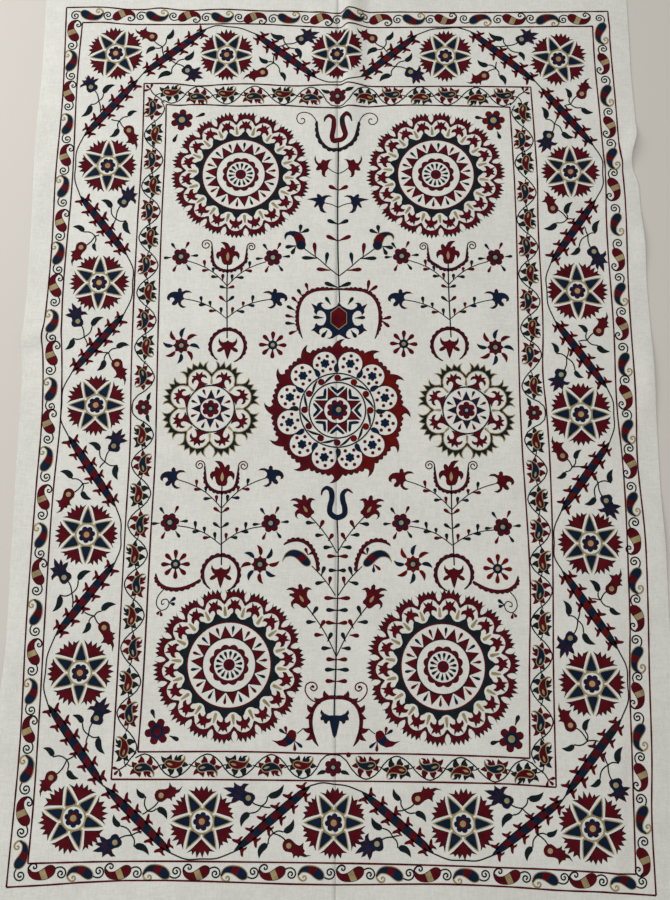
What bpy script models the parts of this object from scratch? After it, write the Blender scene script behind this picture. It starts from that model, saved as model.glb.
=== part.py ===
"""Embroidered cotton hanging laid out flat: two long panels joined at a centre seam.

Metres, +Z up. The origin is on the ground under the middle of the cloth. +X runs
across the cloth, +Y runs along its length towards the end with the seam ridge.
Each panel is one thin sheet. Its underside lies on the ground and leaves it only
where the cloth stands up in a ridge, a ripple or a soft crease.
"""

import math
from collections import namedtuple

import bmesh
import bpy

# Cloth and seam
CLOTH_THICKNESS = 0.0012
HALF_LENGTH = 1.127
SEAM_TOP_X = -0.005
SEAM_BOTTOM_X = 0.003
SEAM_GAP = 0.0003

# Table columns. Station: position along Y and the size that holds there.
# Ripple: middle, direction in degrees, half sizes along and across it, height.
# Run: where a run of mesh steps ends and how many it has.
Station = namedtuple("Station", "y size")
Ripple = namedtuple("Ripple", "mid_x mid_y turn half_length half_width height")
Run = namedtuple("Run", "end steps")

# Distance of each side edge from X = 0
LEFT_EDGE = (
    Station(-1.127, 0.762),
    Station(-0.900, 0.764),
    Station(-0.680, 0.762),
    Station(-0.560, 0.758),
    Station(-0.300, 0.761),
    Station(-0.080, 0.763),
    Station(0.060, 0.763),
    Station(0.170, 0.770),
    Station(0.300, 0.766),
    Station(0.470, 0.767),
    Station(0.700, 0.771),
    Station(0.900, 0.766),
    Station(1.127, 0.768),
)
RIGHT_EDGE = (
    Station(-1.127, 0.760),
    Station(-0.900, 0.765),
    Station(-0.650, 0.770),
    Station(-0.430, 0.771),
    Station(-0.150, 0.767),
    Station(0.120, 0.766),
    Station(0.400, 0.761),
    Station(0.570, 0.756),
    Station(0.655, 0.738),
    Station(0.740, 0.756),
    Station(0.900, 0.751),
    Station(1.127, 0.750),
)

# How far each end bows in from its corners, halfway across a panel
END_BOW = 0.003

# Height of the ridge beside the seam, and where it stands away from the seam
RIDGE = (
    Station(0.600, 0.000),
    Station(0.720, 0.005),
    Station(0.800, 0.010),
    Station(0.860, 0.013),
    Station(1.020, 0.017),
    Station(1.060, 0.021),
    Station(1.127, 0.027),
)
RIDGE_FOOT = 0.004
RIDGE_CREST = 0.027
RIDGE_END = 0.088

# Ripples and soft creases
RIPPLES = (
    Ripple(0.742, 0.690, 72, 0.075, 0.034, 0.0140),
    Ripple(0.700, 0.640, 8, 0.070, 0.026, 0.0040),
    Ripple(0.760, 0.430, 88, 0.110, 0.040, 0.0060),
    Ripple(0.752, 0.090, 88, 0.150, 0.045, 0.0070),
    Ripple(0.760, -0.300, 90, 0.140, 0.040, 0.0050),
    Ripple(0.640, -0.790, 84, 0.110, 0.030, 0.0040),
    Ripple(0.625, -1.000, 86, 0.100, 0.032, 0.0040),
    Ripple(0.690, 1.020, -28, 0.090, 0.030, 0.0035),
    Ripple(-0.745, 0.178, 12, 0.110, 0.036, 0.0070),
    Ripple(-0.755, -0.640, 88, 0.130, 0.040, 0.0045),
    Ripple(-0.752, 0.560, 88, 0.140, 0.040, 0.0040),
    Ripple(-0.050, 1.060, -52, 0.085, 0.026, 0.0030),
    Ripple(0.180, 1.105, 10, 0.110, 0.030, 0.0030),
    Ripple(-0.330, -1.105, 4, 0.160, 0.030, 0.0030),
    Ripple(0.330, -1.100, -5, 0.140, 0.030, 0.0035),
)

# Mesh rows along Y, and columns outwards from the seam
ROWS_START = -HALF_LENGTH
ROWS = (
    Run(-0.900, 5),
    Run(-0.700, 5),
    Run(0.060, 13),
    Run(0.300, 7),
    Run(0.560, 5),
    Run(0.800, 9),
    Run(HALF_LENGTH, 8),
)
LEFT_COLUMNS = (Run(0.060, 2), Run(0.640, 8), Run(1.000, 4))
RIGHT_COLUMNS = (
    Run(0.004, 1),
    Run(0.048, 5),
    Run(0.088, 3),
    Run(0.560, 7),
    Run(0.640, 2),
    Run(1.000, 5),
)
FIXED_REACH = 0.640

# Off-white hand-loomed cotton
COTTON_COLOUR = (0.66, 0.65, 0.60, 1.0)
COTTON_ROUGHNESS = 0.92


def smooth_step(t):
    """Ease from 0 to 1 with level ends."""
    t = min(max(t, 0.0), 1.0)
    return 0.5 - 0.5 * math.cos(math.pi * t)


def read_table(table, y):
    """Size from a table of stations at y, eased between its rows."""
    for low, high in zip(table, table[1:]):
        if y <= high.y:
            share = smooth_step((y - low.y) / (high.y - low.y))
            return low.size + (high.size - low.size) * share
    return table[-1].size


def seam_x(y):
    """Where the centre seam runs."""
    along = (y + HALF_LENGTH) / (2.0 * HALF_LENGTH)
    return SEAM_BOTTOM_X + (SEAM_TOP_X - SEAM_BOTTOM_X) * along


def ridge_height(x, y):
    """Height of the ridge: a steep side at the seam and a gentle one away from it."""
    away = x - seam_x(y)
    if away < RIDGE_CREST:
        share = smooth_step((away - RIDGE_FOOT) / (RIDGE_CREST - RIDGE_FOOT))
    else:
        share = smooth_step((RIDGE_END - away) / (RIDGE_END - RIDGE_CREST))
    return share * read_table(RIDGE, y)


def ripple_height(x, y):
    """Height of the ripples and soft creases, zero outside each one's reach."""
    height = 0.0
    for ripple in RIPPLES:
        angle = math.radians(ripple.turn)
        dx = x - ripple.mid_x
        dy = y - ripple.mid_y
        along = abs(dx * math.cos(angle) + dy * math.sin(angle)) / ripple.half_length
        across = abs(dy * math.cos(angle) - dx * math.sin(angle)) / ripple.half_width
        height += ripple.height * smooth_step(1.0 - along) * smooth_step(1.0 - across)
    return height


def clear_of_seam(x, y):
    """0 on the seam's flat strip and 1 beyond it, so that the two edges stay level."""
    return smooth_step((abs(x - seam_x(y)) - RIDGE_FOOT) / RIDGE_CREST)


def underside(x, y):
    """Height of the cloth's underside above the ground."""
    return ridge_height(x, y) + ripple_height(x, y) * clear_of_seam(x, y)


def mesh_stops(start, runs):
    """Grid positions from a table of runs."""
    stops = [start]
    for run in runs:
        first = stops[-1]
        step = (run.end - first) / run.steps
        stops += [first + step * (k + 1) for k in range(run.steps)]
    return stops


def column_x(stop, reach):
    """Distance from the seam: true up to the fixed reach, then stretched to the edge."""
    if stop <= FIXED_REACH:
        return stop
    return FIXED_REACH + (reach - FIXED_REACH) * (stop - FIXED_REACH) / (1.0 - FIXED_REACH)


def make_panel(name, side, edge, columns, collection, material):
    """One panel as a grid of the cloth's underside, thickened upwards."""
    across = mesh_stops(0.0, columns)
    along = mesh_stops(ROWS_START, ROWS)
    last_column = len(across) - 1
    last_row = len(along) - 1
    bm = bmesh.new()
    bmesh.ops.create_grid(bm, x_segments=last_column, y_segments=last_row, size=0.5)
    for vert in bm.verts:
        column = round((vert.co.x + 0.5) * last_column)
        row = round((vert.co.y + 0.5) * last_row)
        column = column if side > 0 else last_column - column
        y = along[row]
        seam = seam_x(y)
        reach = read_table(edge, y) - side * seam - SEAM_GAP / 2.0
        x = seam + side * (SEAM_GAP / 2.0 + column_x(across[column], reach))
        bow = END_BOW * math.sin(math.pi * column / last_column)
        y -= bow * math.copysign(1.0, y) * smooth_step(abs(y) / HALF_LENGTH)
        vert.co = (x, y, underside(x, y))
    mesh = bpy.data.meshes.new(name)
    bm.to_mesh(mesh)
    bm.free()
    mesh.shade_smooth()
    mesh.materials.append(material)
    panel = bpy.data.objects.new(name, mesh)
    collection.objects.link(panel)
    thicken = panel.modifiers.new("Cloth thickness", "SOLIDIFY")
    thicken.thickness = CLOTH_THICKNESS
    thicken.offset = 1.0
    return panel


def cotton_material(name):
    """Plain off-white cotton."""
    material = bpy.data.materials.new(name)
    material.use_nodes = True
    shader = material.node_tree.nodes["Principled BSDF"]
    shader.inputs["Base Color"].default_value = COTTON_COLOUR
    shader.inputs["Roughness"].default_value = COTTON_ROUGHNESS
    shader.inputs["Metallic"].default_value = 0.0
    material.diffuse_color = COTTON_COLOUR
    return material


def main():
    for old in list(bpy.data.objects):
        bpy.data.objects.remove(old, do_unlink=True)
    collection = bpy.data.collections.new("Embroidered_hanging")
    bpy.context.scene.collection.children.link(collection)
    left_cotton = cotton_material("Cotton left")
    right_cotton = cotton_material("Cotton right")
    make_panel("panel_left", -1, LEFT_EDGE, LEFT_COLUMNS, collection, left_cotton)
    make_panel("panel_right", 1, RIGHT_EDGE, RIGHT_COLUMNS, collection, right_cotton)


main()
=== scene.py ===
"""Looks of the embroidered cotton hanging: cloth, thread, floor, light and camera.

The cloth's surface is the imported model's, with its ridge, ripples and creases. The
embroidery is drawn in millimetres from the middle of the drawn frame, as complex numbers
(x + yj), and each drawn shape becomes a low plate of thread that follows the cloth.
"""

import math
from collections import defaultdict, namedtuple

import bpy
import numpy as np
from mathutils import Matrix, Vector
from mathutils.geometry import tessellate_polygon


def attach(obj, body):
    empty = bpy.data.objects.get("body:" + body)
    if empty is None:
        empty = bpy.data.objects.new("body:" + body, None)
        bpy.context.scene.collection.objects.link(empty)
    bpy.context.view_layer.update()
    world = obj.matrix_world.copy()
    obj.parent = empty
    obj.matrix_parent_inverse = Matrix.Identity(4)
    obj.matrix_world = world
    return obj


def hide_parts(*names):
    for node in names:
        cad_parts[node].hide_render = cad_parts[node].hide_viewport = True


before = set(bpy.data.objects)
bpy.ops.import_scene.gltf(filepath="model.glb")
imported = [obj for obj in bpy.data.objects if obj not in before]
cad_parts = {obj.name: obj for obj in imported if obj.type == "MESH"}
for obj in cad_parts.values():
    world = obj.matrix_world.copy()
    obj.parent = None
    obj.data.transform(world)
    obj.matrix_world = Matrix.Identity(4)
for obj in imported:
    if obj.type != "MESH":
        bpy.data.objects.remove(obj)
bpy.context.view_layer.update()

# Cloth, in metres, as in the part
CLOTH_THICKNESS = 0.0012
HALF_LENGTH = 1.127
SEAM_TOP_X = -0.005
SEAM_BOTTOM_X = 0.003
SEAM_GAP = 0.0003
END_BOW = 0.003
LEFT_EDGE = (
    (-1.127, 0.762),
    (-0.900, 0.764),
    (-0.680, 0.762),
    (-0.560, 0.758),
    (-0.300, 0.761),
    (-0.080, 0.763),
    (0.060, 0.763),
    (0.170, 0.770),
    (0.300, 0.766),
    (0.470, 0.767),
    (0.700, 0.771),
    (0.900, 0.766),
    (1.127, 0.768),
)
RIGHT_EDGE = (
    (-1.127, 0.760),
    (-0.900, 0.765),
    (-0.650, 0.770),
    (-0.430, 0.771),
    (-0.150, 0.767),
    (0.120, 0.766),
    (0.400, 0.761),
    (0.570, 0.756),
    (0.655, 0.738),
    (0.740, 0.756),
    (0.900, 0.751),
    (1.127, 0.750),
)
RIDGE = (
    (0.600, 0.000),
    (0.720, 0.005),
    (0.800, 0.010),
    (0.860, 0.013),
    (1.020, 0.017),
    (1.060, 0.021),
    (1.127, 0.027),
)
RIDGE_FOOT = 0.004
RIDGE_CREST = 0.027
RIDGE_END = 0.088
Ripple = namedtuple("Ripple", "mid_x mid_y turn half_length half_width height")
RIPPLES = (
    Ripple(0.742, 0.690, 72, 0.075, 0.034, 0.0140),
    Ripple(0.700, 0.640, 8, 0.070, 0.026, 0.0040),
    Ripple(0.760, 0.430, 88, 0.110, 0.040, 0.0060),
    Ripple(0.752, 0.090, 88, 0.150, 0.045, 0.0070),
    Ripple(0.760, -0.300, 90, 0.140, 0.040, 0.0050),
    Ripple(0.640, -0.790, 84, 0.110, 0.030, 0.0040),
    Ripple(0.625, -1.000, 86, 0.100, 0.032, 0.0040),
    Ripple(0.690, 1.020, -28, 0.090, 0.030, 0.0035),
    Ripple(-0.745, 0.178, 12, 0.110, 0.036, 0.0070),
    Ripple(-0.755, -0.640, 88, 0.130, 0.040, 0.0045),
    Ripple(-0.752, 0.560, 88, 0.140, 0.040, 0.0040),
    Ripple(-0.050, 1.060, -52, 0.085, 0.026, 0.0030),
    Ripple(0.180, 1.105, 10, 0.110, 0.030, 0.0030),
    Ripple(-0.330, -1.105, 4, 0.160, 0.030, 0.0030),
    Ripple(0.330, -1.100, -5, 0.140, 0.030, 0.0035),
)

# Thread: height of the lowest plates over the cloth, step between layers, depth into it
THREAD_HEIGHT = 0.0004
LAYER_STEP = 0.00018
THREAD_DEPTH = 0.0003
DRAWING_SHIFT_X = -0.007
MM = 0.001
# Step between the columns of the cloth's mesh beside the seam
NEAR_STEP = 0.0025

# Colours as the eye sees them, 0 to 255
COLOURS = {
    "crimson": (80, 9, 19),
    "brick": (93, 13, 9),
    "navy": (12, 29, 50),
    "green": (20, 30, 34),
    "gold": (152, 137, 98),
    "maroon": (66, 8, 26),
}

rng = np.random.default_rng(11)


# Cloth surface


def smooth_step(t):
    """Ease from 0 to 1 with level ends."""
    return 0.5 - 0.5 * np.cos(np.pi * np.clip(t, 0.0, 1.0))


def read_table(table, y):
    """Size from a table of stations at y, eased between its rows."""
    rows = np.array(table)
    low = np.clip(np.searchsorted(rows[:, 0], y) - 1, 0, len(rows) - 2)
    share = smooth_step((y - rows[low, 0]) / (rows[low + 1, 0] - rows[low, 0]))
    return rows[low, 1] + (rows[low + 1, 1] - rows[low, 1]) * share


def seam_x(y):
    """Where the centre seam runs."""
    along = (y + HALF_LENGTH) / (2.0 * HALF_LENGTH)
    return SEAM_BOTTOM_X + (SEAM_TOP_X - SEAM_BOTTOM_X) * along


def ripple_height(x, y):
    """Height of the ripples and soft creases."""
    height = np.zeros_like(x)
    for ripple in RIPPLES:
        angle = math.radians(ripple.turn)
        dx = x - ripple.mid_x
        dy = y - ripple.mid_y
        along = abs(dx * math.cos(angle) + dy * math.sin(angle)) / ripple.half_length
        across = abs(dy * math.cos(angle) - dx * math.sin(angle)) / ripple.half_width
        height += ripple.height * smooth_step(1.0 - along) * smooth_step(1.0 - across)
    return height


def underside(x, y):
    """Height of the cloth's underside: ridge beside the seam, ripples and creases."""
    away = x - seam_x(y)
    rise = smooth_step((away - RIDGE_FOOT) / (RIDGE_CREST - RIDGE_FOOT))
    fall = smooth_step((RIDGE_END - away) / (RIDGE_END - RIDGE_CREST))
    ridge = np.where(away < RIDGE_CREST, rise, fall) * read_table(RIDGE, y)
    clear = smooth_step((abs(away) - RIDGE_FOOT) / RIDGE_CREST)
    return ridge + ripple_height(x, y) * clear


def cloth_top(x, y):
    """Height of the cloth's upper face."""
    return underside(x, y) + CLOTH_THICKNESS


# Drawing helpers


def polar(radius, degrees):
    return radius * np.exp(1j * np.radians(degrees))


def array(points):
    """Points given as pairs or complex numbers, as a complex array."""
    points = np.asarray(points)
    if points.ndim == 2:
        return points[:, 0] + 1j * points[:, 1]
    return points.astype(complex)


def smooth(points, steps=4, closed=False):
    """A smooth curve through the points, however unevenly they lie."""
    p = array(points)
    if closed:
        p = np.concatenate([p[-1:], p, p[:2]])
    else:
        p = np.concatenate([2 * p[:1] - p[1:2], p, 2 * p[-1:] - p[-2:-1]])
    step = np.diff(p)
    gap = np.maximum(abs(step), 1e-6)
    slope = step / gap
    tangent = (slope[:-1] * gap[1:] + slope[1:] * gap[:-1]) / (gap[:-1] + gap[1:])
    t = np.arange(steps) / steps
    from_start = np.outer(p[1:-2], 2 * t**3 - 3 * t**2 + 1)
    from_end = np.outer(p[2:-1], 3 * t**2 - 2 * t**3)
    leaving = np.outer(tangent[:-1] * gap[1:-1], t**3 - 2 * t**2 + t)
    arriving = np.outer(tangent[1:] * gap[1:-1], t**3 - t**2)
    curve = (from_start + from_end + leaving + arriving).ravel()
    return curve if closed else np.append(curve, p[-2])


def mirrored(half):
    """A closed outline from the points of its upper half, first and last on the axis."""
    half = array(half)
    return np.concatenate([half, np.conj(half[-2:0:-1])])


def anticlockwise(outline):
    """The outline without doubled points, turning to the left."""
    gaps = abs(outline - np.roll(outline, 1))
    outline = outline[gaps > 0.05]
    area = np.sum(outline.real * np.roll(outline.imag, -1) - outline.imag * np.roll(outline.real, -1))
    return outline if area > 0 else outline[::-1]


def inset(outline, depth, sharp=3.2, hollow=1.4):
    """The outline drawn in by depth, further at sharp tips, so that the tips stay open."""
    before = outline - np.roll(outline, 1)
    after = np.roll(outline, -1) - outline
    middle = 1j * before / abs(before) + 1j * after / abs(after)
    size = np.maximum(abs(middle), 1e-3)
    outer = (np.conj(before) * after).imag > 0
    reach = np.minimum(2.0 / size, np.where(outer, sharp, hollow))
    return outline + middle / size * depth * reach


class Needlework:
    """Every drawn shape, kept by colour."""

    def __init__(self):
        self.fills = defaultdict(list)
        self.ribbons = defaultdict(list)
        self.base = 0 + 0j
        self.turn = 1 + 0j
        self.flip = False
        self.stretch = (1.0, 1.0)

    def put(self, at=0j, turn=0.0, size=1.0, flip=False, stretch=(1.0, 1.0)):
        """Set where the next shapes go: origin, direction, size, handedness and stretch."""
        self.base = complex(at)
        self.turn = size * polar(1.0, turn)
        self.flip = flip
        self.stretch = stretch
        return self

    def place(self, points):
        points = array(points)
        points = self.turn * (np.conj(points) if self.flip else points)
        return self.base + self.stretch[0] * points.real + 1j * self.stretch[1] * points.imag

    def fill(self, colour, outline, layer=0, edge=None, width=1.2):
        """A closed shape, with a border of another colour just inside its outline."""
        outline = anticlockwise(self.place(outline))
        if edge:
            self.fills[edge].append((outline, layer))
            outline = inset(outline, width)
            layer += 1
        self.fills[colour].append((outline, layer))

    def line(self, colour, path, width=2.0, layer=0, closed=False):
        """A line of thread. width is one number or one for each point."""
        path = self.place(path)
        width = np.broadcast_to(width, path.shape) * abs(self.turn)
        if closed:
            along = np.roll(path, -1) - np.roll(path, 1)
        else:
            along = np.gradient(path)
        side = 1j * along / np.maximum(abs(along), 1e-6) * width / 2.0
        self.ribbons[colour].append((path + side, path - side, layer, closed))

    def band(self, colour, degrees, inner, outer, layer=0, closed=True):
        """A ring between two distances from the origin, given at each angle."""
        ray = polar(1.0, np.asarray(degrees, float))
        far = self.place(ray * outer)
        near = self.place(ray * inner)
        if self.flip:
            far, near = near, far
        self.ribbons[colour].append((near, far, layer, closed))

    def dot(self, colour, at, radius, layer=0, sides=14, edge=None, width=1.2):
        circle = complex(*at) if isinstance(at, tuple) else complex(at)
        self.fill(colour, circle + polar(radius, np.arange(sides) * 360 / sides), layer, edge, width)

    def ring(self, colour, inner, outer, layer=0, sides=48):
        self.band(colour, np.arange(sides) * 360 / sides, inner, outer, layer)


work = Needlework()
EVEN = np.linspace(0.0, 1.0, 9)


def leaf_shape(base, tip, width, bend=0.0, middle=0.35):
    """A leaf, round at its base and pointed at its tip, bent to the left by bend."""
    base, tip = complex(base), complex(tip)
    s = np.linspace(0.0, 1.0, 8)
    power = middle / (1.0 - middle)
    half = s**power * (1.0 - s)
    half *= 0.5 * width / (middle**power * (1.0 - middle))
    spine = base + (tip - base) * (s + 1j * bend * (np.sin(np.pi * s) - s**3 * 0.3))
    along = np.gradient(spine)
    side = 1j * along / abs(along) * half
    return np.concatenate([spine + side, (spine - side)[-2:0:-1]])


def leaf(colour, base, tip, width, bend=0.0, layer=1, edge=None, middle=0.35):
    work.fill(colour, leaf_shape(base, tip, width, bend, middle), layer, edge)


def petals_shape(count, reach, petal, turn=0.0, steps=5):
    """Outline of a flower: round petals of one radius with middles at one distance."""
    part = np.linspace(-180 / count, 180 / count, steps, endpoint=False)
    across = reach * np.sin(np.radians(part))
    radius = reach * np.cos(np.radians(part)) + np.sqrt(np.maximum(petal**2 - across**2, 0.2))
    outline = [polar(radius, part + turn + 360 * k / count) for k in range(count)]
    return np.concatenate(outline)


def coil(centre, radius, start, sweep, inner=1.5, steps=14):
    """A spiral that starts at radius and winds in."""
    s = np.linspace(0.0, 1.0, steps)
    return complex(centre) + polar(radius + (inner - radius) * s**1.1, start + sweep * s)


def cut(outline, at, along):
    """The part of an outline on the left of a line."""
    side = (np.conj(complex(along)) * (outline - complex(at))).imag
    kept = []
    count = len(outline)
    for k in range(count):
        following = (k + 1) % count
        if side[k] >= 0:
            kept.append(outline[k])
        if side[k] * side[following] < 0:
            share = side[k] / (side[k] - side[following])
            kept.append(outline[k] + (outline[following] - outline[k]) * share)
    return np.array(kept)


# Frame lines, in millimetres: points along each side, corner to corner
FRAME_A = {
    "top": [
        (-707, 1067), (-600, 1068), (-550, 1063), (-500, 1063), (-470, 1067), (-400, 1061),
        (-300, 1065), (-200, 1061), (-100, 1060), (-30, 1056), (40, 1056), (100, 1059),
        (300, 1060), (500, 1062), (600, 1064), (706, 1066),
    ],
    "right": [
        (706, 1066), (707, 1000), (714, 800), (717, 700), (724, 600), (722, 300), (725, 0),
        (722, -100), (731, -300), (729, -450), (724, -600), (719, -800), (713, -900), (713, -1073),
    ],
    "bottom": [
        (713, -1073), (600, -1067), (500, -1064), (400, -1058), (300, -1054), (0, -1056),
        (-550, -1055), (-600, -1059), (-713, -1066),
    ],
    "left": [
        (-713, -1066), (-707, -900), (-704, -800), (-707, -500), (-705, -200), (-702, 0),
        (-709, 130), (-713, 170), (-709, 250), (-705, 400), (-707, 600), (-702, 800), (-707, 1067),
    ],
}
FRAME_B = {
    "top": [
        (-663, 1024), (-600, 1025), (-560, 1021), (-450, 1020), (-200, 1023), (-100, 1018),
        (0, 1014), (80, 1015), (300, 1018), (500, 1020), (600, 1022), (664, 1022),
    ],
    "right": [
        (664, 1022), (666, 900), (671, 800), (675, 700), (679, 600), (676, 500), (681, 200),
        (680, 0), (686, -100), (687, -400), (685, -500), (679, -600), (675, -800), (671, -1030),
    ],
    "bottom": [
        (671, -1030), (600, -1027), (500, -1022), (400, -1019), (200, -1014), (-100, -1011),
        (-500, -1012), (-669, -1017),
    ],
    "left": [
        (-669, -1017), (-665, -900), (-664, -700), (-665, -500), (-664, -200), (-657, 0),
        (-661, 100), (-668, 200), (-664, 600), (-667, 900), (-663, 1024),
    ],
}
FRAME_C = {
    "top": [
        (-495, 853), (-420, 853), (-350, 847), (-300, 851), (-240, 854), (-100, 849),
        (-20, 853), (80, 849), (300, 851), (498, 850),
    ],
    "right": [
        (498, 850), (504, 700), (507, 600), (505, 500), (508, 200), (504, 100), (510, 0),
        (514, -250), (511, -400), (505, -600), (502, -850),
    ],
    "bottom": [(502, -850), (400, -844), (300, -842), (0, -840), (-200, -839), (-494, -840)],
    "left": [
        (-494, -840), (-492, -700), (-489, -250), (-487, -100), (-493, 100), (-495, 450),
        (-492, 700), (-495, 853),
    ],
}
FRAME_D = {
    "top": [
        (-436, 795), (-400, 793), (-375, 795), (-250, 792), (-150, 795), (-50, 790),
        (50, 790), (150, 797), (300, 797), (443, 794),
    ],
    "right": [
        (443, 794), (446, 700), (449, 600), (449, -100), (453, -200), (458, -400), (450, -600),
        (445, -789),
    ],
    "bottom": [(445, -789), (400, -787), (300, -784), (100, -781), (0, -782), (-200, -779), (-437, -781)],
    "left": [
        (-437, -781), (-434, -700), (-429, -300), (-426, -100), (-428, 0), (-432, 200),
        (-435, 500), (-434, 700), (-436, 795),
    ],
}
FRAME_LINE = 3.6
STEM = 2.9


def draw_frames():
    """The four wavering frame lines."""
    for sides in (FRAME_A, FRAME_B, FRAME_C, FRAME_D):
        for name, points in sides.items():
            path = smooth(points, steps=6)
            waver = 0.12 * np.sin(path.real * 0.11 + path.imag * 0.09)
            colour = "crimson" if name in ("right", "bottom") else "maroon"
            work.put().line(colour, path, FRAME_LINE * (1.0 + waver))


# Star rosettes of the main border: middle, turn of the first star point, size
ROSETTES = (
    (-572, 937, 10, 1), (-285, 935, 0, 0.97), (0, 939, 0, 0.95), (280, 936, 0, 0.97), (572, 929, -10, 1),
    (-577, 627, 30, 1), (-582, 319, 30, 1), (-574, 12, 0, 1), (-579, -297, 30, 1.01), (-577, -610, 30, 1.02),
    (-574, -922, -15, 1.03), (591, 619, 30, 1), (596, 306, 30, 1.03), (592, -2, 0, 1.04), (602, -309, 30, 1.03),
    (592, -626, 30, 1.03), (580, -936, 10, 1.03), (-288, -927, 0, 1.01), (5, -928, 0, 1.01), (292, -928, 0, 1.01),
)
STAR_TIP = 67.0
STAR_RING = 25.5
STAR_POINT = ((25, 0), (24, 11.5), (29.5, 14), (38, 11.4), (48, 8), (58, 4.2), (STAR_TIP, 0))
STAR_CORE = ((27, 0), (27.4, 9.3), (31, 11), (39, 8.6), (48, 5.5), (56, 2.6), (61.5, 0))
FAN_TEETH = (
    (70.5, 26), (64, 16.5), (73, 12.5), (63, 7.5), (75, 2.5), (63.5, -2), (74.5, -7), (63, -11.5),
    (71, -15.5), (65, -18.5), (70, -26),
)


def rosette(at, turn, size):
    """Six star points round a ringed flower, with a toothed fan between each two."""
    for k in range(6):
        work.put(at, turn + 60 * k, size)
        work.fill("gold", mirrored(STAR_POINT), 0)
        work.fill("navy", mirrored(STAR_CORE), 1)
        work.put(at, turn + 30 + 60 * k, size)
        uneven = rng.normal(0, 1.0, len(FAN_TEETH))
        edge = [polar(r + u, a) for (r, a), u in zip(FAN_TEETH, uneven)]
        side = [46 + 10j, 57 + 21.5j]
        outline = [36] + side + edge + [np.conj(side[1]), np.conj(side[0])]
        work.fill("crimson", array(outline), 0, "green", 1.5)
    work.put(at, turn, size)
    work.ring("gold", STAR_RING - 1.7, STAR_RING + 1.5, 2, 36)
    work.fill("navy", petals_shape(7, 13, 6.6, 30, 5), 1, "green", 0.9)
    work.dot("crimson", 0, 11, 3, 16)
    work.dot("gold", 0, 6.8, 4, 12)


# Thorny rods of the main border: both ends
Rod = namedtuple("Rod", "x0 y0 x1 y1 bend")
RODS = (
    Rod(-500, 880, -339, 1009, 1), Rod(-214, 996, -51, 871, -1), Rod(61, 871, 208, 996, 1),
    Rod(346, 1006, 511, 865, -1), Rod(524, 849, 652, 690, 1), Rod(652, 546, 533, 377, -1),
    Rod(538, 230, 658, 62, 1), Rod(658, -69, 536, -235, -1), Rod(533, -372, 655, -550, 1),
    Rod(655, -702, 522, -868, -1), Rod(517, -875, 355, -994, 1), Rod(227, -991, 67, -862, -1),
    Rod(-47, -850, -216, -990, 1), Rod(-354, -994, -507, -856, -1), Rod(-512, -853, -646, -680, 1),
    Rod(-639, -529, -509, -360, -1), Rod(-514, -232, -636, -63, 1), Rod(-636, 93, -517, 240, -1),
    Rod(-517, 390, -642, 546, 1), Rod(-642, 706, -511, 865, -1),
)
ROD_BANDS = 10
BRICK_RODS = (2, 3, 4, 5, 6, 7, 8)
ROD_HALF = 10.4
ROD_CORE = 6.9
LEAFLET = (
    (-5, -2), (-4.2, 2.2), (-8, 4.6), (-13, 5.6), (-8.6, 9), (-3, 8.4), (0.6, 9.2), (4, 13.4), (9, 17),
    (9.6, 11), (6.6, 5.4), (5, 1.5), (5.4, -2),
)
# Vines round the rosettes: the middle of the arc that joins one rod's end to the next rod
VINES = (
    (-285, 1015), (2, 861), (281, 1014), None, (672, 619), (521, 306), (671, -2), (517, -309),
    (673, -626), None, (292, -1004), (5, -847), (-288, -1005), None, (-656, -610),
    (-499, -297), (-656, 12), (-500, 319), (-658, 627), None,
)


def rod(spec, reds):
    """A banded rod with dark edges, pointed ends and pairs of forked leaflets."""
    start = complex(spec.x0, spec.y0)
    end = complex(spec.x1, spec.y1)
    length = abs(end - start)
    work.put(start, np.degrees(np.angle(end - start)))
    s = np.array([0, 0.05, 0.12, 0.3, 0.5, 0.75, 0.88, 0.95, 1.0])
    half = ROD_HALF * np.array([0.12, 0.4, 0.78, 0.95, 1.0, 0.92, 0.72, 0.42, 0.12])
    work.line("green", s * length, 2 * half, 0)
    stops = np.linspace(0.075, 0.915, ROD_BANDS + 1) * length
    core = np.interp(stops, s * length, half) - (ROD_HALF - ROD_CORE)
    for k in range(ROD_BANDS):
        slant = 2.2
        box = [
            stops[k] + slant - 1j * core[k],
            stops[k + 1] + slant - 1j * core[k + 1],
            stops[k + 1] - slant + 1j * core[k + 1],
            stops[k] - slant + 1j * core[k],
        ]
        red = reds if rng.random() < 0.6 else "crimson"
        work.fill("navy" if k % 2 else red, array(box), 1)
    for side in (1, -1):
        for k in range(6):
            along = length * (0.085 + 0.166 * k + 0.012 * side) + rng.normal(0, 0.8)
            root = along + 1j * side * (np.interp(along, s * length, half) - 1.0)
            shape = array(LEAFLET) * (0.98 + rng.normal(0, 0.05))
            shape = shape if side > 0 else np.conj(shape)
            outline = anticlockwise(smooth(root + shape, 2, True))
            work.fill("crimson", outline, 0)
    return start, end


def draw_rods():
    """Rods and the thin vine that joins them round the rosettes."""
    for k, spec in enumerate(RODS):
        end = rod(spec, "brick" if k in BRICK_RODS else "crimson")[1]
        following = RODS[(k + 1) % len(RODS)]
        start = complex(following.x0, following.y0)
        work.put()
        middle = VINES[k]
        if middle is None:
            work.line("green", np.array([end, (end + start) / 2, start]), STEM)
            continue
        middle = complex(*middle)
        chord = (start - end) * 0.23
        path = smooth([end, middle - chord, middle, middle + chord, start], 6)
        work.line("green", path, STEM)


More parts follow.
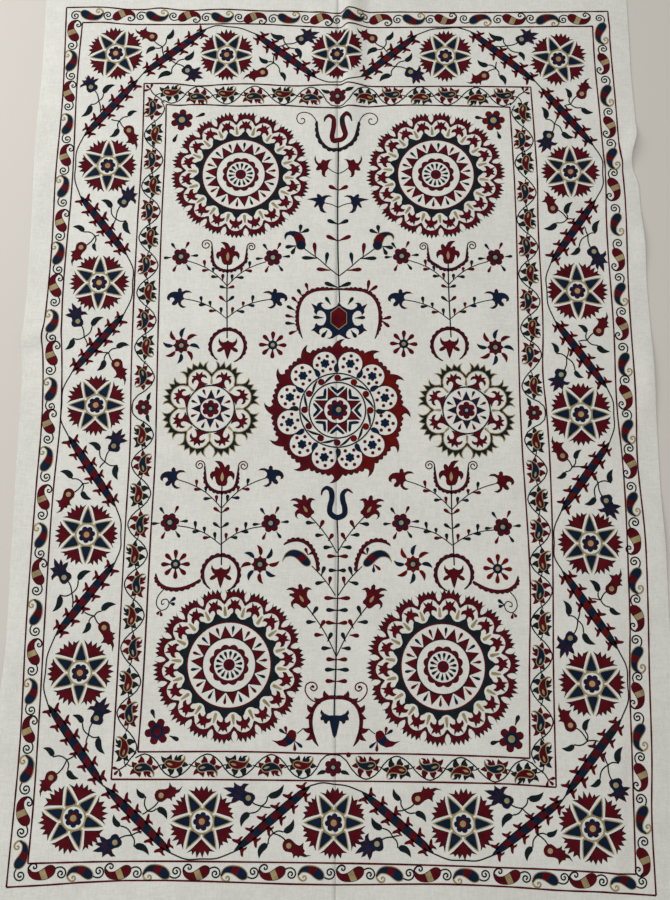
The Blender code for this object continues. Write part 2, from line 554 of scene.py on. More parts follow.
# Sprigs of the rods: root, fork, base and tip of two leaves, bud and its tail, colour
Sprig = namedtuple("Sprig", "root fork base1 tip1 base2 tip2 bud tail colour turn")
SPRIGS = (
    Sprig((-448, 933), (-452, 957), (-443, 980), (-425, 1007), (-469, 953), (-494, 937), (-480, 985), (-526, 1007), "crimson", 1),
    Sprig((-440, 922), (-415, 909), (-395, 922), (-369, 945), (-425, 881), (-461, 868), (-385, 890), (-343, 868), "navy", 1),
    Sprig((-152, 959), (-133, 967), (-137, 987), (-174, 997), (-110, 954), (-94, 924), (-93, 981), (-45, 1001), "navy", -1),
    Sprig((-161, 941), (-163, 913), (-176, 916), (-202, 930), (-147, 886), (-133, 862), (-191, 886), (-242, 867), "crimson", -1),
    Sprig((131, 945), (121, 959), (126, 982), (146, 1004), (106, 953), (77, 938), (91, 984), (50, 1004), "crimson", 1),
    Sprig((130, 906), (151, 905), (174, 921), (194, 943), (140, 879), (109, 864), (190, 890), (228, 864), "navy", 1),
    Sprig((410, 964), (439, 966), (432, 987), (393, 1001), (468, 947), (484, 924), (478, 984), (524, 1002), "navy", -1),
    Sprig((412, 920), (410, 901), (391, 911), (362, 924), (417, 882), (434, 856), (379, 881), (333, 861), "crimson", -1),
    Sprig((-421, -913), (-410, -906), (-415, -876), (-437, -860), (-390, -901), (-365, -922), (-381, -873), (-333, -854), "crimson", -1),
    Sprig((-421, -949), (-443, -957), (-468, -938), (-486, -915), (-437, -980), (-402, -996), (-479, -972), (-528, -991), "navy", -1),
    Sprig((-136, -897), (-156, -894), (-143, -873), (-106, -850), (-181, -909), (-202, -937), (-186, -877), (-243, -856), "navy", 1),
    Sprig((-138, -938), (-129, -951), (-107, -948), (-83, -922), (-140, -973), (-161, -1002), (-94, -976), (-45, -997), "crimson", 1),
    Sprig((146, -902), (162, -900), (155, -879), (137, -856), (185, -906), (211, -924), (192, -876), (245, -856), "crimson", -1),
    Sprig((151, -954), (136, -957), (114, -939), (88, -917), (147, -979), (177, -997), (101, -971), (52, -992), "navy", -1),
    Sprig((442, -909), (425, -895), (438, -873), (474, -862), (404, -909), (378, -934), (391, -879), (341, -858), "navy", 1),
    Sprig((457, -927), (458, -950), (476, -949), (502, -939), (446, -975), (431, -1004), (484, -983), (534, -1005), "crimson", 1),
    Sprig((-603, 772), (-609, 804), (-598, 823), (-570, 850), (-629, 794), (-650, 759), (-631, 842), (-640, 876), "navy", -1),
    Sprig((-574, 753), (-553, 749), (-532, 761), (-510, 777), (-556, 730), (-575, 704), (-528, 723), (-507, 669), "crimson", -1),
    Sprig((-556, 460), (-549, 485), (-562, 513), (-588, 536), (-524, 481), (-512, 445), (-531, 530), (-507, 576), "navy", 1),
    Sprig((-589, 443), (-599, 440), (-627, 450), (-655, 465), (-599, 422), (-594, 400), (-632, 410), (-652, 361), "crimson", 1),
    Sprig((-602, 159), (-612, 181), (-594, 207), (-568, 232), (-639, 177), (-655, 148), (-629, 220), (-647, 267), "navy", -1),
    Sprig((-581, 147), (-550, 142), (-532, 153), (-501, 162), (-560, 125), (-575, 96), (-528, 113), (-507, 61), "crimson", -1),
    Sprig((-557, -139), (-545, -125), (-559, -99), (-586, -79), (-515, -133), (-514, -168), (-526, -87), (-507, -44), "navy", 1),
    Sprig((-581, -175), (-595, -177), (-621, -166), (-650, -147), (-596, -194), (-573, -215), (-627, -203), (-653, -248), "crimson", 1),
    Sprig((-603, -464), (-606, -432), (-593, -403), (-565, -380), (-634, -436), (-647, -475), (-626, -396), (-652, -352), "navy", -1),
    Sprig((-574, -475), (-551, -483), (-535, -472), (-503, -455), (-563, -496), (-576, -523), (-527, -509), (-505, -563), "crimson", -1),
    Sprig((-555, -763), (-550, -745), (-565, -721), (-588, -702), (-526, -749), (-513, -787), (-534, -709), (-513, -662), "navy", 1),
    Sprig((-579, -789), (-596, -799), (-627, -793), (-650, -773), (-593, -820), (-568, -840), (-629, -837), (-651, -878), "crimson", 1),
    Sprig((582, 798), (599, 803), (596, 819), (587, 848), (626, 794), (655, 780), (628, 832), (650, 877), "crimson", 1),
    Sprig((563, 770), (555, 749), (533, 762), (525, 796), (574, 728), (603, 711), (540, 716), (519, 669), "navy", 1),
    Sprig((595, 492), (578, 493), (577, 505), (592, 539), (551, 483), (519, 466), (543, 521), (522, 568), "crimson", -1),
    Sprig((622, 471), (628, 451), (647, 456), (658, 491), (605, 420), (582, 399), (641, 408), (664, 355), "navy", -1),
    Sprig((593, 178), (615, 181), (614, 199), (594, 220), (639, 169), (668, 152), (644, 205), (666, 253), "crimson", 1),
    Sprig((569, 158), (563, 137), (539, 147), (528, 175), (582, 106), (602, 87), (548, 95), (527, 52), "navy", 1),
    Sprig((600, -131), (566, -130), (575, -112), (589, -87), (550, -141), (528, -157), (544, -103), (521, -55), "crimson", -1),
    Sprig((621, -150), (626, -167), (657, -167), (661, -134), (618, -200), (592, -219), (643, -209), (667, -255), "navy", -1),
    Sprig((592, -437), (620, -439), (615, -422), (597, -393), (641, -455), (665, -471), (646, -413), (670, -367), "crimson", 1),
    Sprig((571, -456), (565, -485), (543, -475), (535, -440), (577, -512), (603, -540), (546, -525), (521, -571), "navy", 1),
    Sprig((601, -751), (576, -751), (572, -730), (583, -702), (546, -759), (518, -768), (539, -717), (514, -669), "crimson", -1),
    Sprig((612, -776), (620, -802), (643, -797), (652, -761), (601, -831), (578, -848), (635, -844), (658, -880), "navy", -1),
)
BUD_LENGTH = 53.0
CRIMSON_BUD = (
    (-14.5, 0), (-13, -6.5), (-8, -12), (-2, -14), (5, -12.5), (11.5, -10.7), (16, -14), (19.3, -20.5),
    (21.5, -13.5), (25, -12.5), (29, -15), (31.5, -9), (42, -8), (BUD_LENGTH, 1), (43, -2.5), (36, -1),
    (37, 4), (31.5, 7), (29, 12), (27.5, 19), (23.5, 11.5), (20.5, 8.8), (13, 9), (6, 11.5), (-1, 13.8),
    (-8, 12.3), (-13, 7),
)
NAVY_BUD = (
    (-13.5, 2.5), (-15, -4), (-12, -10), (-4, -12.5), (6, -11), (12, -12), (12, -19), (8, -28),
    (18, -25), (22, -17), (28, -17), (37, -19.5), (34, -12), (34, -8.5), (42, -6), (BUD_LENGTH, 0),
    (42, 2.5), (34, 3.5), (38, 7), (43, 12.5), (34, 13), (28, 10.5), (29, 16), (28, 25), (20.5, 19),
    (15, 12), (8, 12), (2, 16.5), (-5, 17), (-10, 14), (-12, 8),
)
TONGUE_LINES = (((21, -15), (15, -6)), ((30, -8.5), (18, -2)), ((31, 2.5), (18, 2)), ((25, 8.5), (16, 5)))


def bud(at, tail, colour):
    """A round-headed bud with a thorny tail."""
    at, tail = complex(*at), complex(*tail)
    work.put(at, np.degrees(np.angle(tail - at)), 1, rng.random() < 0.5)
    crimson = colour == "crimson"
    shape = array(CRIMSON_BUD if crimson else NAVY_BUD)
    stretch = np.where(shape.real > 0, abs(tail - at) / BUD_LENGTH, 1.0)
    edge = "green" if crimson else "crimson"
    work.fill(colour, shape.real * stretch + 1j * shape.imag, 0, edge, 1.5)
    for line in () if crimson else TONGUE_LINES:
        work.line("crimson", array(line), (1.8, 1.0), 2)
    work.dot("gold", 0, 6.0, 3, 12)


def curve_between(start, end, sag):
    start, end = complex(start), complex(end)
    s = np.linspace(0, 1, 6)
    return start + (end - start) * (s + 1j * sag * np.sin(np.pi * s))


def draw_sprigs():
    for s in SPRIGS:
        root, fork = complex(*s.root), complex(*s.fork)
        work.put()
        head = complex(*s.bud)
        work.line("green", curve_between(root, fork, 0.06 * s.turn), STEM)
        work.line("green", curve_between(fork, head, 0.12 * s.turn), STEM)
        for base, tip in ((s.base1, s.tip1), (s.base2, s.tip2)):
            base, tip = complex(*base), complex(*tip)
            work.line("green", curve_between(fork, base, 0.16 * np.sign(((base - fork) * np.conj(head - fork)).imag)), STEM)
            width = min(14.5, 0.42 * abs(tip - base))
            leaf("green", base, tip, width, -0.17 * s.turn)
        bud(s.bud, s.tail, s.colour)


# Outer guard: paisleys by the place of their heads, along each side
GUARD_BODY = (
    (0, 5), (1.5, -1), (6, -7), (14, -12.4), (22, -15), (30, -16), (38, -16), (46, -14.6),
    (53, -10.8), (58, -5), (60.5, 3), (59, 7), (55, 5.5), (51, 1.6), (44, 0.6), (38, 1.8),
    (33, 4.2), (27, 8), (20, 12.8), (13, 15.3), (6, 14.4), (1, 10.5),
)
GUARD_CURL = (
    (58.5, 2), (59, 8), (56, 13.5), (51, 17), (45.5, 17), (41.5, 13.5), (42, 9), (45.5, 7), (48.5, 9), (47, 12),
)
GUARD_LINK = (
    (1, 8), (-5, 10.6), (-13, 10.8), (-20, 6), (-22, -2), (-18, -8.6), (-11, -10), (-5.8, -6.2),
    (-6, 0), (-10.5, 3), (-14.6, 0.8), (-14.4, -3.4), (-11.4, -4.6),
)
GuardRow = namedtuple("GuardRow", "turn line heads flips reds")
GUARD_ROWS = (
    GuardRow(
        0, ((-700, 1046), (-400, 1043), (0, 1037), (100, 1039), (400, 1041), (700, 1044)),
        (-670, -586, -500, -415, -330, -244, -156, -71, 11, 83, 169, 253, 342, 430, 516, 600),
        (0, 1, 0, 1, 0, 1, 0, 1, 0, 1, 0, 0, 1, 0, 1, 0), (),
    ),
    GuardRow(
        180, ((-700, -1036), (-400, -1033), (0, -1033), (300, -1034), (500, -1040), (700, -1048)),
        (-607, -523, -440, -354, -267, -183, -100, -14, 73, 160, 242, 327, 417, 501, 585, 672),
        (1, 0, 1, 0, 1, 0, 1, 0, 1, 0, 1, 0, 1, 0, 1, 0), (),
    ),
    GuardRow(
        90, ((-686, -1040), (-685, -700), (-687, -400), (-683, 0), (-691, 175), (-686, 400), (-685, 1040)),
        (
            970, 885, 800, 710, 625, 540, 450, 364, 281, 189, 109, 20, -59, -150, -240, -330,
            -414, -506, -594, -681, -764, -850, -940, -1030,
        ),
        (1, 0) * 12, (),
    ),
    GuardRow(
        -90, ((690, -1040), (690, -950), (695, -650), (706, -300), (702, 0), (701, 400), (697, 700), (684, 1040)),
        (
            1032, 947, 859, 771, 685, 604, 510, 418, 329, 242, 152, 71, -13, -96, -187, -272,
            -363, -449, -541, -622, -711, -797, -886, -975,
        ),
        (0, 1) * 12, (),
    ),
)


def guard_paisley(blue):
    """A paisley in three bands with a curled tail, and the spiral at its head."""
    body = smooth(GUARD_BODY, 2, True)
    curl = smooth(GUARD_CURL, 3)
    taper = np.linspace(4.4, 3.0, len(curl))
    if blue:
        work.fill("gold", body, 0)
        work.line("gold", curl, taper, 0)
        inner = inset(anticlockwise(body), 1.9)
        work.fill("navy", cut(inner, 24 + 2j, 10 + 18j), 1)
        work.fill("crimson", cut(cut(inner, 24 + 2j, -10 - 18j), 37 - 3j, 4 + 14j), 1)
        work.fill("navy", cut(inner, 37 - 3j, -4 - 14j), 1)
    else:
        work.fill("green", body, 0)
        work.line("green", curl, taper * 0.9, 0)
        inner = inset(anticlockwise(body), 1.2)
        work.fill("crimson", cut(inner, 22 + 3j, 8 + 18j), 1)
        work.fill("gold", cut(cut(inner, 22 + 3j, -8 - 18j), 34 - 2j, 6 + 14j), 1)
        work.fill("crimson", cut(inner, 34 - 2j, -6 - 14j), 1)
    work.line("green", smooth(GUARD_LINK, 3), np.linspace(3.0, 3.4, 3 * len(GUARD_LINK) - 2), 0)


def draw_outer_guard():
    for row in GUARD_ROWS:
        line = array(row.line)
        across = abs(row.turn) == 90
        stops = line.imag if across else line.real
        levels = line.real if across else line.imag
        order = np.argsort(stops)
        first_red = row.turn in (90, 180)
        for k, head in enumerate(row.heads):
            level = np.interp(head, stops[order], levels[order])
            at = complex(level, head) if across else complex(head, level)
            blue = (k % 2 == 0) != first_red
            flip = bool(row.flips[k])
            size = 1.0 + rng.normal(0, 0.015)
            work.put(at, row.turn + rng.normal(0, 1.5), size, flip)
            guard_paisley(blue)


draw_frames()
for x, y, turn, size in ROSETTES:
    rosette(complex(x, y), turn, size)
draw_rods()
draw_sprigs()
draw_outer_guard()
# Motifs shared by the medallions and trees


def mirror(points, axis):
    """Points mirrored about a vertical line."""
    points = array(points)
    return 2 * axis - np.conj(points)


def drop(colour, base, tip, width=6.5, bend=0.0, layer=0):
    """A small leaf, narrow at its base and round near its tip."""
    base, tip = complex(*base), complex(*tip)
    s = np.array([0.0, 0.25, 0.5, 0.7, 0.85, 0.95, 1.0])
    half = width / 2 * np.array([0.2, 0.4, 0.78, 1.0, 0.92, 0.58, 0.08])
    spine = base + (tip - base) * (s + 1j * bend * np.sin(np.pi * s))
    side = 1j * (tip - base) / abs(tip - base) * half
    work.fill(colour, np.concatenate([spine - side, (spine + side)[::-1]]), layer)


def scalloped(colour, path, width, bumps, side=1, edge=None, rim=1.1, ends=(0.25, 0.25), bump=1.8):
    """A thick tapered stroke with scallops along one side."""
    path = smooth(path, 5)
    dense = np.linspace(0, len(path) - 1, 6 * bumps + 1)
    path = np.interp(dense, np.arange(len(path)), path.real) + 1j * np.interp(
        dense, np.arange(len(path)), path.imag
    )
    s = np.linspace(0, 1, len(path))
    along = np.gradient(path)
    normal = 1j * along / abs(along) * side
    taper = np.interp(s, (0, 0.16, 0.84, 1), (ends[0], 1, 1, ends[1]))
    out = path + normal * (width / 2 + bump * abs(np.sin(np.pi * bumps * s))) * taper
    inside = path - normal * width / 2 * taper
    work.fill(colour, np.concatenate([out, inside[::-1]]), 0, edge, rim)


def flower(at, turn=0.0, petals="crimson", petal=8.3, reach=13.5, disc=12.0, eye=5.5, count=6):
    """A round-petalled flower with a ring and an eye."""
    work.put(at, turn)
    work.fill(petals, petals_shape(count, reach, petal), 0, "green", 1.5)
    work.dot("navy", 0, disc, 2, 18)
    work.dot("gold", 0, eye, 3, 12)


def ring_of_drops(colours, inner, outer, width, turn=0.0, count=None, bend=0.0):
    count = count or len(colours)
    for k in range(count):
        ray = polar(1.0, turn + 360 * k / count)
        base, tip = ray * inner, ray * outer
        drop(colours[k % len(colours)], (base.real, base.imag), (tip.real, tip.imag), width, bend)


def outlined(colour, edge, points, layer=0, width=1.2, steps=2):
    work.fill(colour, smooth(points, steps, True), layer, edge, width)


# Sun medallions: middle and turn of the first lobe

Sun = namedtuple("Sun", "x y first wide tall")
SUNS = (
    Sun(-240.5, 606.0, 6, 1.03, 1.0),
    Sun(251.5, 609.0, 4, 1.022, 0.992),
    Sun(-237.0, -590.0, 6, 1.018, 1.01),
    Sun(253.0, -591.0, 3, 1.022, 1.022),
)
LOBES = 18
LOBE_MIDDLE = 130.0
LOBE_RADIUS = 21.3
CUP_MIDDLE = 117.0
CUP_RADIUS = 13.6
CREST_TEETH = 6
SUN_FLOWER = (
    (115, 0), (115, 2.2), (119, 2.2), (123.5, 2.8), (125.5, 5.5), (124.5, 9.5), (120, 14.5),
    (127.5, 16), (132.5, 12.5), (135.5, 8), (147.5, 11), (141, 4), (145, 0),
)


CREST_REACH = np.array([166.8, 169.2, 171.6, 171.6, 169.2, 166.8])


def crest(grow, reaches):
    """A toothed crest between a lobe and its two notches, drawn in by grow."""
    half = 180 / LOBES
    step = 2 * (half - 1.2) / (CREST_TEETH - 1)
    teeth = []
    for k in range(CREST_TEETH):
        angle = -half + 1.2 + step * k
        if k:
            teeth.append(polar(161.0 - 2.2 * grow, angle - step * 0.5))
        teeth.append(polar(reaches[k] - 5.6 * grow, angle * (1 - 0.08 * grow)))
    side = [
        polar(134 + 4.5 * grow, half - 0.05 * grow), polar(143 + grow, half - 0.45 * grow),
        polar(147, half - 1.5 - 0.6 * grow), polar(154, half - 2.4 - 0.6 * grow),
        polar(160, half - 2.3 - 0.6 * grow),
    ]
    lower = [np.conj(p) for p in side]
    arc = LOBE_MIDDLE + polar(LOBE_RADIUS - 0.3 + 1.5 * grow, np.arange(72, -73, -18))
    return np.concatenate([lower, teeth, side[::-1], arc])


def sun(spec, reds):
    """A ringed sun medallion with lobes, flowers and toothed crests."""
    at, first, stretch = complex(spec.x, spec.y), spec.first, (spec.wide, spec.tall)

    def turned(angle):
        work.put(at, angle, stretch=stretch)

    pitch = 360 / LOBES
    cup = np.array([0, 2, 4, 5.3, 6.0])
    reach = CUP_MIDDLE * np.cos(np.radians(cup))
    reach = reach - np.sqrt(CUP_RADIUS**2 - (CUP_MIDDLE * np.sin(np.radians(cup))) ** 2)
    angles = np.concatenate([cup, [7.2, 8.3, 9.2, 10, 10.8, 11.7, 12.8], 20 - cup[:0:-1]])
    radii = np.concatenate([reach, [113, 115, 118, 120, 118, 115, 113], reach[:0:-1]])
    turned(first + pitch / 2)
    ring_angles = np.concatenate([angles + pitch * k for k in range(LOBES)])
    work.band("green", ring_angles, np.full(len(ring_angles), 95.5), np.tile(radii, LOBES), 0)
    work.ring("crimson", 93.0, 96.0, 1, 60)
    for k in range(LOBES):
        turned(first + pitch * k)
        reaches = CREST_REACH + rng.normal(0, 1.5, CREST_TEETH)
        work.fill("green", crest(0.0, reaches), 0)
        work.fill(reds, crest(1.0, reaches), 1)
        work.fill(reds, mirrored(SUN_FLOWER), 1, "green", 0.7)
        turned(first + pitch * (k + 0.5))
        bar = [(108, 1.8), (110, 3.4), (115, 3.6), (122, 2.8), (130, 1.4)]
        work.fill("gold", np.concatenate([array(bar), np.conj(array(bar))[::-1]]), 0)
    for k in range(14):
        turned(97.6 + 25.714 * k)
        work.fill(reds, [polar(61, -12.4), 87, polar(61, 12.4)], 0, "green", 1.2)
        drop("navy" if k % 2 else reds, polar_pair(67, 12.9), polar_pair(86.5, 12.9), 6.6)
    turned(0)
    work.ring("green", 58.6, 61.6, 1, 48)
    angles = np.arange(0, 360, 5)
    scallops = 40.2 + 5.2 * abs(np.sin(np.radians(angles * 6)))
    work.band("green", angles, np.full(72, 34.0), scallops, 0)
    work.band(reds, angles, np.full(72, 35.4), scallops - 1.6, 1)
    for k in range(12):
        turned(30 * k)
        work.line("green", np.array([36.2, 39.6]), 1.8, 2)
    turned(0)
    ring_of_drops(["navy", "green"], 15, 30.5, 6.6, 7, 14)
    work.dot(reds, 0, 13, 0, 18)
    work.dot("navy", 0, 4, 1, 10)


def polar_pair(radius, degrees):
    point = polar(radius, degrees)
    return point.real, point.imag


# Medallions with gold edges

LACE = ((-297.7, 5.3), (317.5, 5.6))
PETAL_MIDDLE = 74.5
LACE_EDGE = (
    (88, -22.5), (93, -19.3), (98, -16.8), (105, -15.8), (111, -16.6), (118, -18.6), (113.5, -14), (107.5, -11.4),
    (120, -8.2), (108.3, -4.2), (122, 0.2), (108.3, 4.0), (120, 8.0), (107.5, 11.4), (113.5, 14), (118, 18.4),
    (111, 16.6), (105, 15.8), (98, 16.8), (93, 19.3), (88, 22.5),
)
LACE_FLOWER = (
    (55.5, 22.5), (59.5, 15.5), (65, 8.5), (71, 4.2), (76, 4), (79, 6.5), (79.5, 10.5), (76.5, 14.5), (72, 18),
    (78, 19.5), (84, 16.5), (86, 11.5), (93, 14), (90.5, 8), (88.5, 4.5), (98, 0),
)


def lace(at):
    """A medallion of eight open lobes with toothed, gold-edged rims."""
    for k in range(8):
        work.put(at, 22.5 + 45 * k)
        rim = [polar(r + rng.normal(0, 0.8), a) for r, a in LACE_EDGE]
        arc = PETAL_MIDDLE + polar(27.0, np.arange(88, -89, -17.6))
        outline = np.concatenate([[polar(77.5, -22.4)], rim, [polar(77.5, 22.4)], arc])
        work.fill("green", outline, 0, "gold", 1.9)
        work.fill("crimson", mirrored(LACE_FLOWER), 0, "green", 1.0)
        drop("green" if k % 2 else "crimson", (35, 0), (51, 0), 6.6)
        work.put(at, 45 * k)
        work.fill("green", [79.2, 83.4 + 3.4j, 86.4, 83.4 - 3.4j], 3)
        work.fill("navy", [polar(26.5, -22), 47, polar(26.5, 22)], 1, "crimson", 1.4)
        bar = [(60.5, 1.2), (63, 3.0), (67, 2.8), (74, 1.8), (80, 1.2)]
        work.fill("gold", np.concatenate([array(bar), np.conj(array(bar))[::-1]]), 0)
    work.put(at)
    work.ring("green", 55.5, 58.6, 2, 48)
    work.ring("crimson", 24.4, 27.0, 0, 36)
    work.fill("crimson", petals_shape(6, 13.5, 7.8, 30), 0, "green", 0.8)
    work.dot("navy", 0, 9.8, 2, 16)
    work.dot("gold", 0, 4.0, 3, 10)


# Central medallion

HEART = 7 + 4j
HEART_LOBES = 12
HEART_HOOK = (
    (157, -11), (161, -7.5), (165, -7), (170, -10), (176.5, -17), (175, -7), (170.5, 1.5), (164, 8),
    (157, 13),
)
HEART_CHEVRON = ((39.5, 0), (45.5, 7.8), (51, 13.8), (57.5, 18), (58.5, 12.5), (54.5, 7), (49, 0))


def heart():
    """The central medallion: star, ring of dots, twelve white lobes and a hooked rim."""
    pitch = 360 / HEART_LOBES
    for k in range(HEART_LOBES):
        angle = pitch * k
        where = HEART + polar(150, angle)
        reds = "brick" if where.real > 50 else "crimson"
        work.put(HEART, angle)
        arcs = []
        for sign in (1, -1):
            middle = polar(118.5, sign * pitch / 2)
            sweep = np.linspace(0, 108, 8) * -sign + sign * pitch / 2
            arc = middle + polar(29.4, sweep)
            arcs.append(arc if sign > 0 else arc[::-1])
        edge = np.arange(-15, 15.1, 0.8333)
        rim = [polar(155.5 + 4.8 * abs(math.sin(math.radians(a * 36))), a) for a in edge if abs(a) > 4.9]
        hook = array(HEART_HOOK)
        rim = [p for p in rim if p.imag < 0] + list(hook) + [p for p in rim if p.imag > 0]
        outline = np.concatenate([[polar(148, -15)], rim, [polar(148, 15)], arcs[0], arcs[1]])
        work.fill(reds, outline, 0, "green", 1.9)
        bend = 0.13 if k % 2 else -0.13
        leaf("navy" if k % 3 else "green", 92, 118, 12.5, bend, 2)
        work.line("green", np.array([112, 119.5]), 1.5, 0)
        work.line("green", np.array([90, 94]), 1.5, 0)
        work.put(HEART, angle)
        work.dot(reds, 79, 8.2, 1, 14)
        swing = np.linspace(0, 1, 7)
        path = polar(71.5 + 16 * swing, 27 - 23 * swing)
        work.line("green", path, 6.2 * np.sin(np.pi * (0.08 + 0.84 * swing)), 0)
        work.put(HEART + polar(118.5, angle + 15), angle + rng.normal(0, 10))
        work.fill("navy", petals_shape(6, 7.2, 4.2), 0)
        for j in range(6):
            spot = polar(19.6 + rng.normal(0, 0.5), 30 + 60 * j + rng.normal(0, 3))
            work.dot("crimson", spot, 4.3, 0, 10)
    work.put(HEART)
    work.ring("green", 66.4, 69.6, 2, 60)
    work.ring("green", 88.6, 91.8, 2, 72)
    for k in range(8):
        work.put(HEART, 22.5 + 45 * k)
        work.fill("crimson", [polar(34, -22), 61, polar(34, 22)], 0, "green", 1.3)
        work.put(HEART, 45 * k)
        work.fill("navy", mirrored(HEART_CHEVRON), 0, "green", 0.7)
    work.put(HEART)
    work.ring("green", 31.5, 33.8, 1, 40)
    work.fill("crimson", petals_shape(8, 18.3, 7.6, 22), 0, "green", 0.8)
    work.dot("navy", 0, 15.5, 2, 20)
    work.put(HEART + 3 + 1j).dot("gold", 0, 6.5, 3, 12)


# Corner flowers, stars and pinwheels


def corner_flower(x, y, turn, leaves, eye="gold", reds="crimson"):
    work.put(complex(x, y), turn)
    work.fill(reds, petals_shape(6, 19.5, 9.8), 0, "green", 1.3)
    work.dot("navy", 0, 15.5, 2, 20)
    work.dot(eye, 0, 8, 3, 14)
    work.put()
    for base, tip in leaves:
        drop("green", base, tip, 9.5)


def eight_star(x, y, reds="crimson"):
    work.put(complex(x, y), rng.normal(0, 3))
    ring_of_drops([reds], 9, 34, 10.4, 0, 8)
    work.dot("navy", 0, 11.5, 1, 18)
    work.dot("gold", 0, 5.0, 2, 12)


def pinwheel(x, y, rays=("navy", "crimson"), way=1, hub_colour="crimson"):
    """A flower with a pointed hub and eight curved rays."""
    work.put(complex(x, y), 0, 1, way < 0)
    hub = [polar(20.5 if k % 2 else 15.5, 22.5 * k + 22.5) for k in range(16)]
    work.fill(hub_colour, np.array(hub), 0, "green", 1.0)
    for k in range(8):
        base, tip = polar(19.5, 45 * k), polar(46, 45 * k - 9)
        leaf(rays[k % 2], base, tip, 9.6, 0.16, 1, None, 0.42)
    work.dot("navy", 0, 10, 2, 18)
    work.dot("gold", 0, 5.5, 3, 12)


def rayed_flower(x, y, colours, turn=0.0):
    flower(complex(x, y), 10, "crimson", 8.6, 13.8, 11.4)
    names = [NAMES[c] for c in colours]
    work.put(complex(x, y), turn)
    ring_of_drops(names, 24, 43, 7.4)


NAMES = {"c": "crimson", "g": "green", "n": "navy", "b": "brick"}

# Side sprigs of the field

TULIP = (
    (-9, 1), (-14, 8), (-16, 16), (-18, 22.5), (-21, 21.5), (-23, 13), (-28.5, 20), (-29.5, 27), (-26, 33.5),
    (-18.5, 35.5), (-18, 43), (-14.5, 46.5), (-9.5, 43.5), (-6, 42), (-10, 51), (-19, 59.5), (-8, 59.5),
    (-1, 56.5), (3.5, 49.5), (6, 44.5), (10, 49.5), (14.5, 51.5), (17.5, 48), (17.5, 41), (15.5, 36.5),
    (23, 35.5), (28.5, 29.5), (29.5, 22), (26.5, 13.5), (23.5, 20.5), (19, 24), (14.5, 22), (12, 16),
    (12.5, 9), (10, 2), (5, -0.5),
)
FLEUR = (
    (-12, -6), (-8, 0), (-8.5, 6), (-14, 10.5), (-22, 11.5), (-29.5, 11), (-23, 16), (-14, 17), (-6, 13.5),
    (-4, 15), (-4, 20), (1, 23.5), (5.5, 19.5), (5.5, 13), (14, 13.5), (22, 11.5), (29, 6), (32, -1),
    (30.5, -7.5), (24, -10), (25, -4.5), (21.5, -1.5), (15, -2.5), (13, -8), (18, -14), (19.5, -19),
    (15, -22), (9, -20), (4, -14), (3, -20), (-2, -26), (-9, -28.5), (-17, -25.5), (-9, -23), (-3, -18),
    (-4, -11), (-8, -7),
)
BELL = (
    (0, 15), (5, 11), (12, 9.5), (18, 13), (21.5, 21), (23, 12), (19.5, 3), (14, -2), (22, -6), (26, -12),
    (22, -15), (15, -13), (8.5, -7.5), (6, -16), (3.5, -25), (0, -33.5),
)
Sprig2 = namedtuple("Sprig2", "x base vertices pairs ends arch flip scroll reds")


# Leaves of a branch: place along it and length
SPRAY_LEAVES = ((0.14, 18.0), (0.25, 20.0), (0.41, 14.5), (0.50, 20.0), (0.62, 18.5), (0.74, 20.0))


def spray(start, end, sag, leaves):
    """A curved stalk with leaves that stand up on its upper side and out on its lower."""
    start, end = complex(*start), complex(*end)
    path = curve_between(start, end, sag)
    work.line("green", path, 2.3)
    way = 1 if end.real > start.real else -1
    for k, colour in enumerate(leaves):
        share, size = SPRAY_LEAVES[k]
        at = start + (end - start) * (share + 1j * sag * math.sin(math.pi * share))
        up = k % 2 == 0
        angle = 90 - 4 * way if up else 90 - 92 * way
        tip = at + polar(size + rng.normal(0, 0.8), angle + rng.normal(0, 3))
        drop(NAMES[colour], (at.real, at.imag), (tip.real, tip.imag), 8.2)


def scroll(x, base, left, right, reds):
    """A U-shaped scroll round a tulip, with a spiral at each end."""
    (lx, ly, lr), (rx, ry, rr) = left, right
    path = [
        (lx + lr, ly), (lx + lr + 1.5, ly - 22), (lx + lr + 3, 11), (-29, -4), (-15, -12.5), (0, -15),
        (15, -12.5), (29, -4), (rx - rr - 3, 11), (rx - rr - 1.5, ry - 22), (rx - rr, ry),
    ]
    work.put(complex(x, base))
    scalloped(reds, path, 7.0, 17, -1, "green", 1.5, (0.35, 0.35), 2.4)
    for cx, cy, r, start, sweep in ((lx, ly, lr, 0, 560), (rx, ry, rr, 180, -560)):
        work.line("maroon", coil(complex(cx, cy), r, start, sweep, 2.5, 24), 2.7)


def arch(x, y, flip, reds="crimson"):
    """A horseshoe with a bell flower inside."""
    work.put(complex(x, y), 180 if flip else 0, 1, flip)
    path = polar(42.0, np.linspace(236, -68, 16))
    scalloped("maroon", path, 7.6, 17, 1, "green", 1.4, (0.25, 0.25), 2.4)
    work.fill(reds, bell_shape(), 0, "green", 1.5)


def bell_shape():
    right = array(BELL)
    left = -np.conj(right)
    return np.concatenate([left[:-1], right[::-1]])


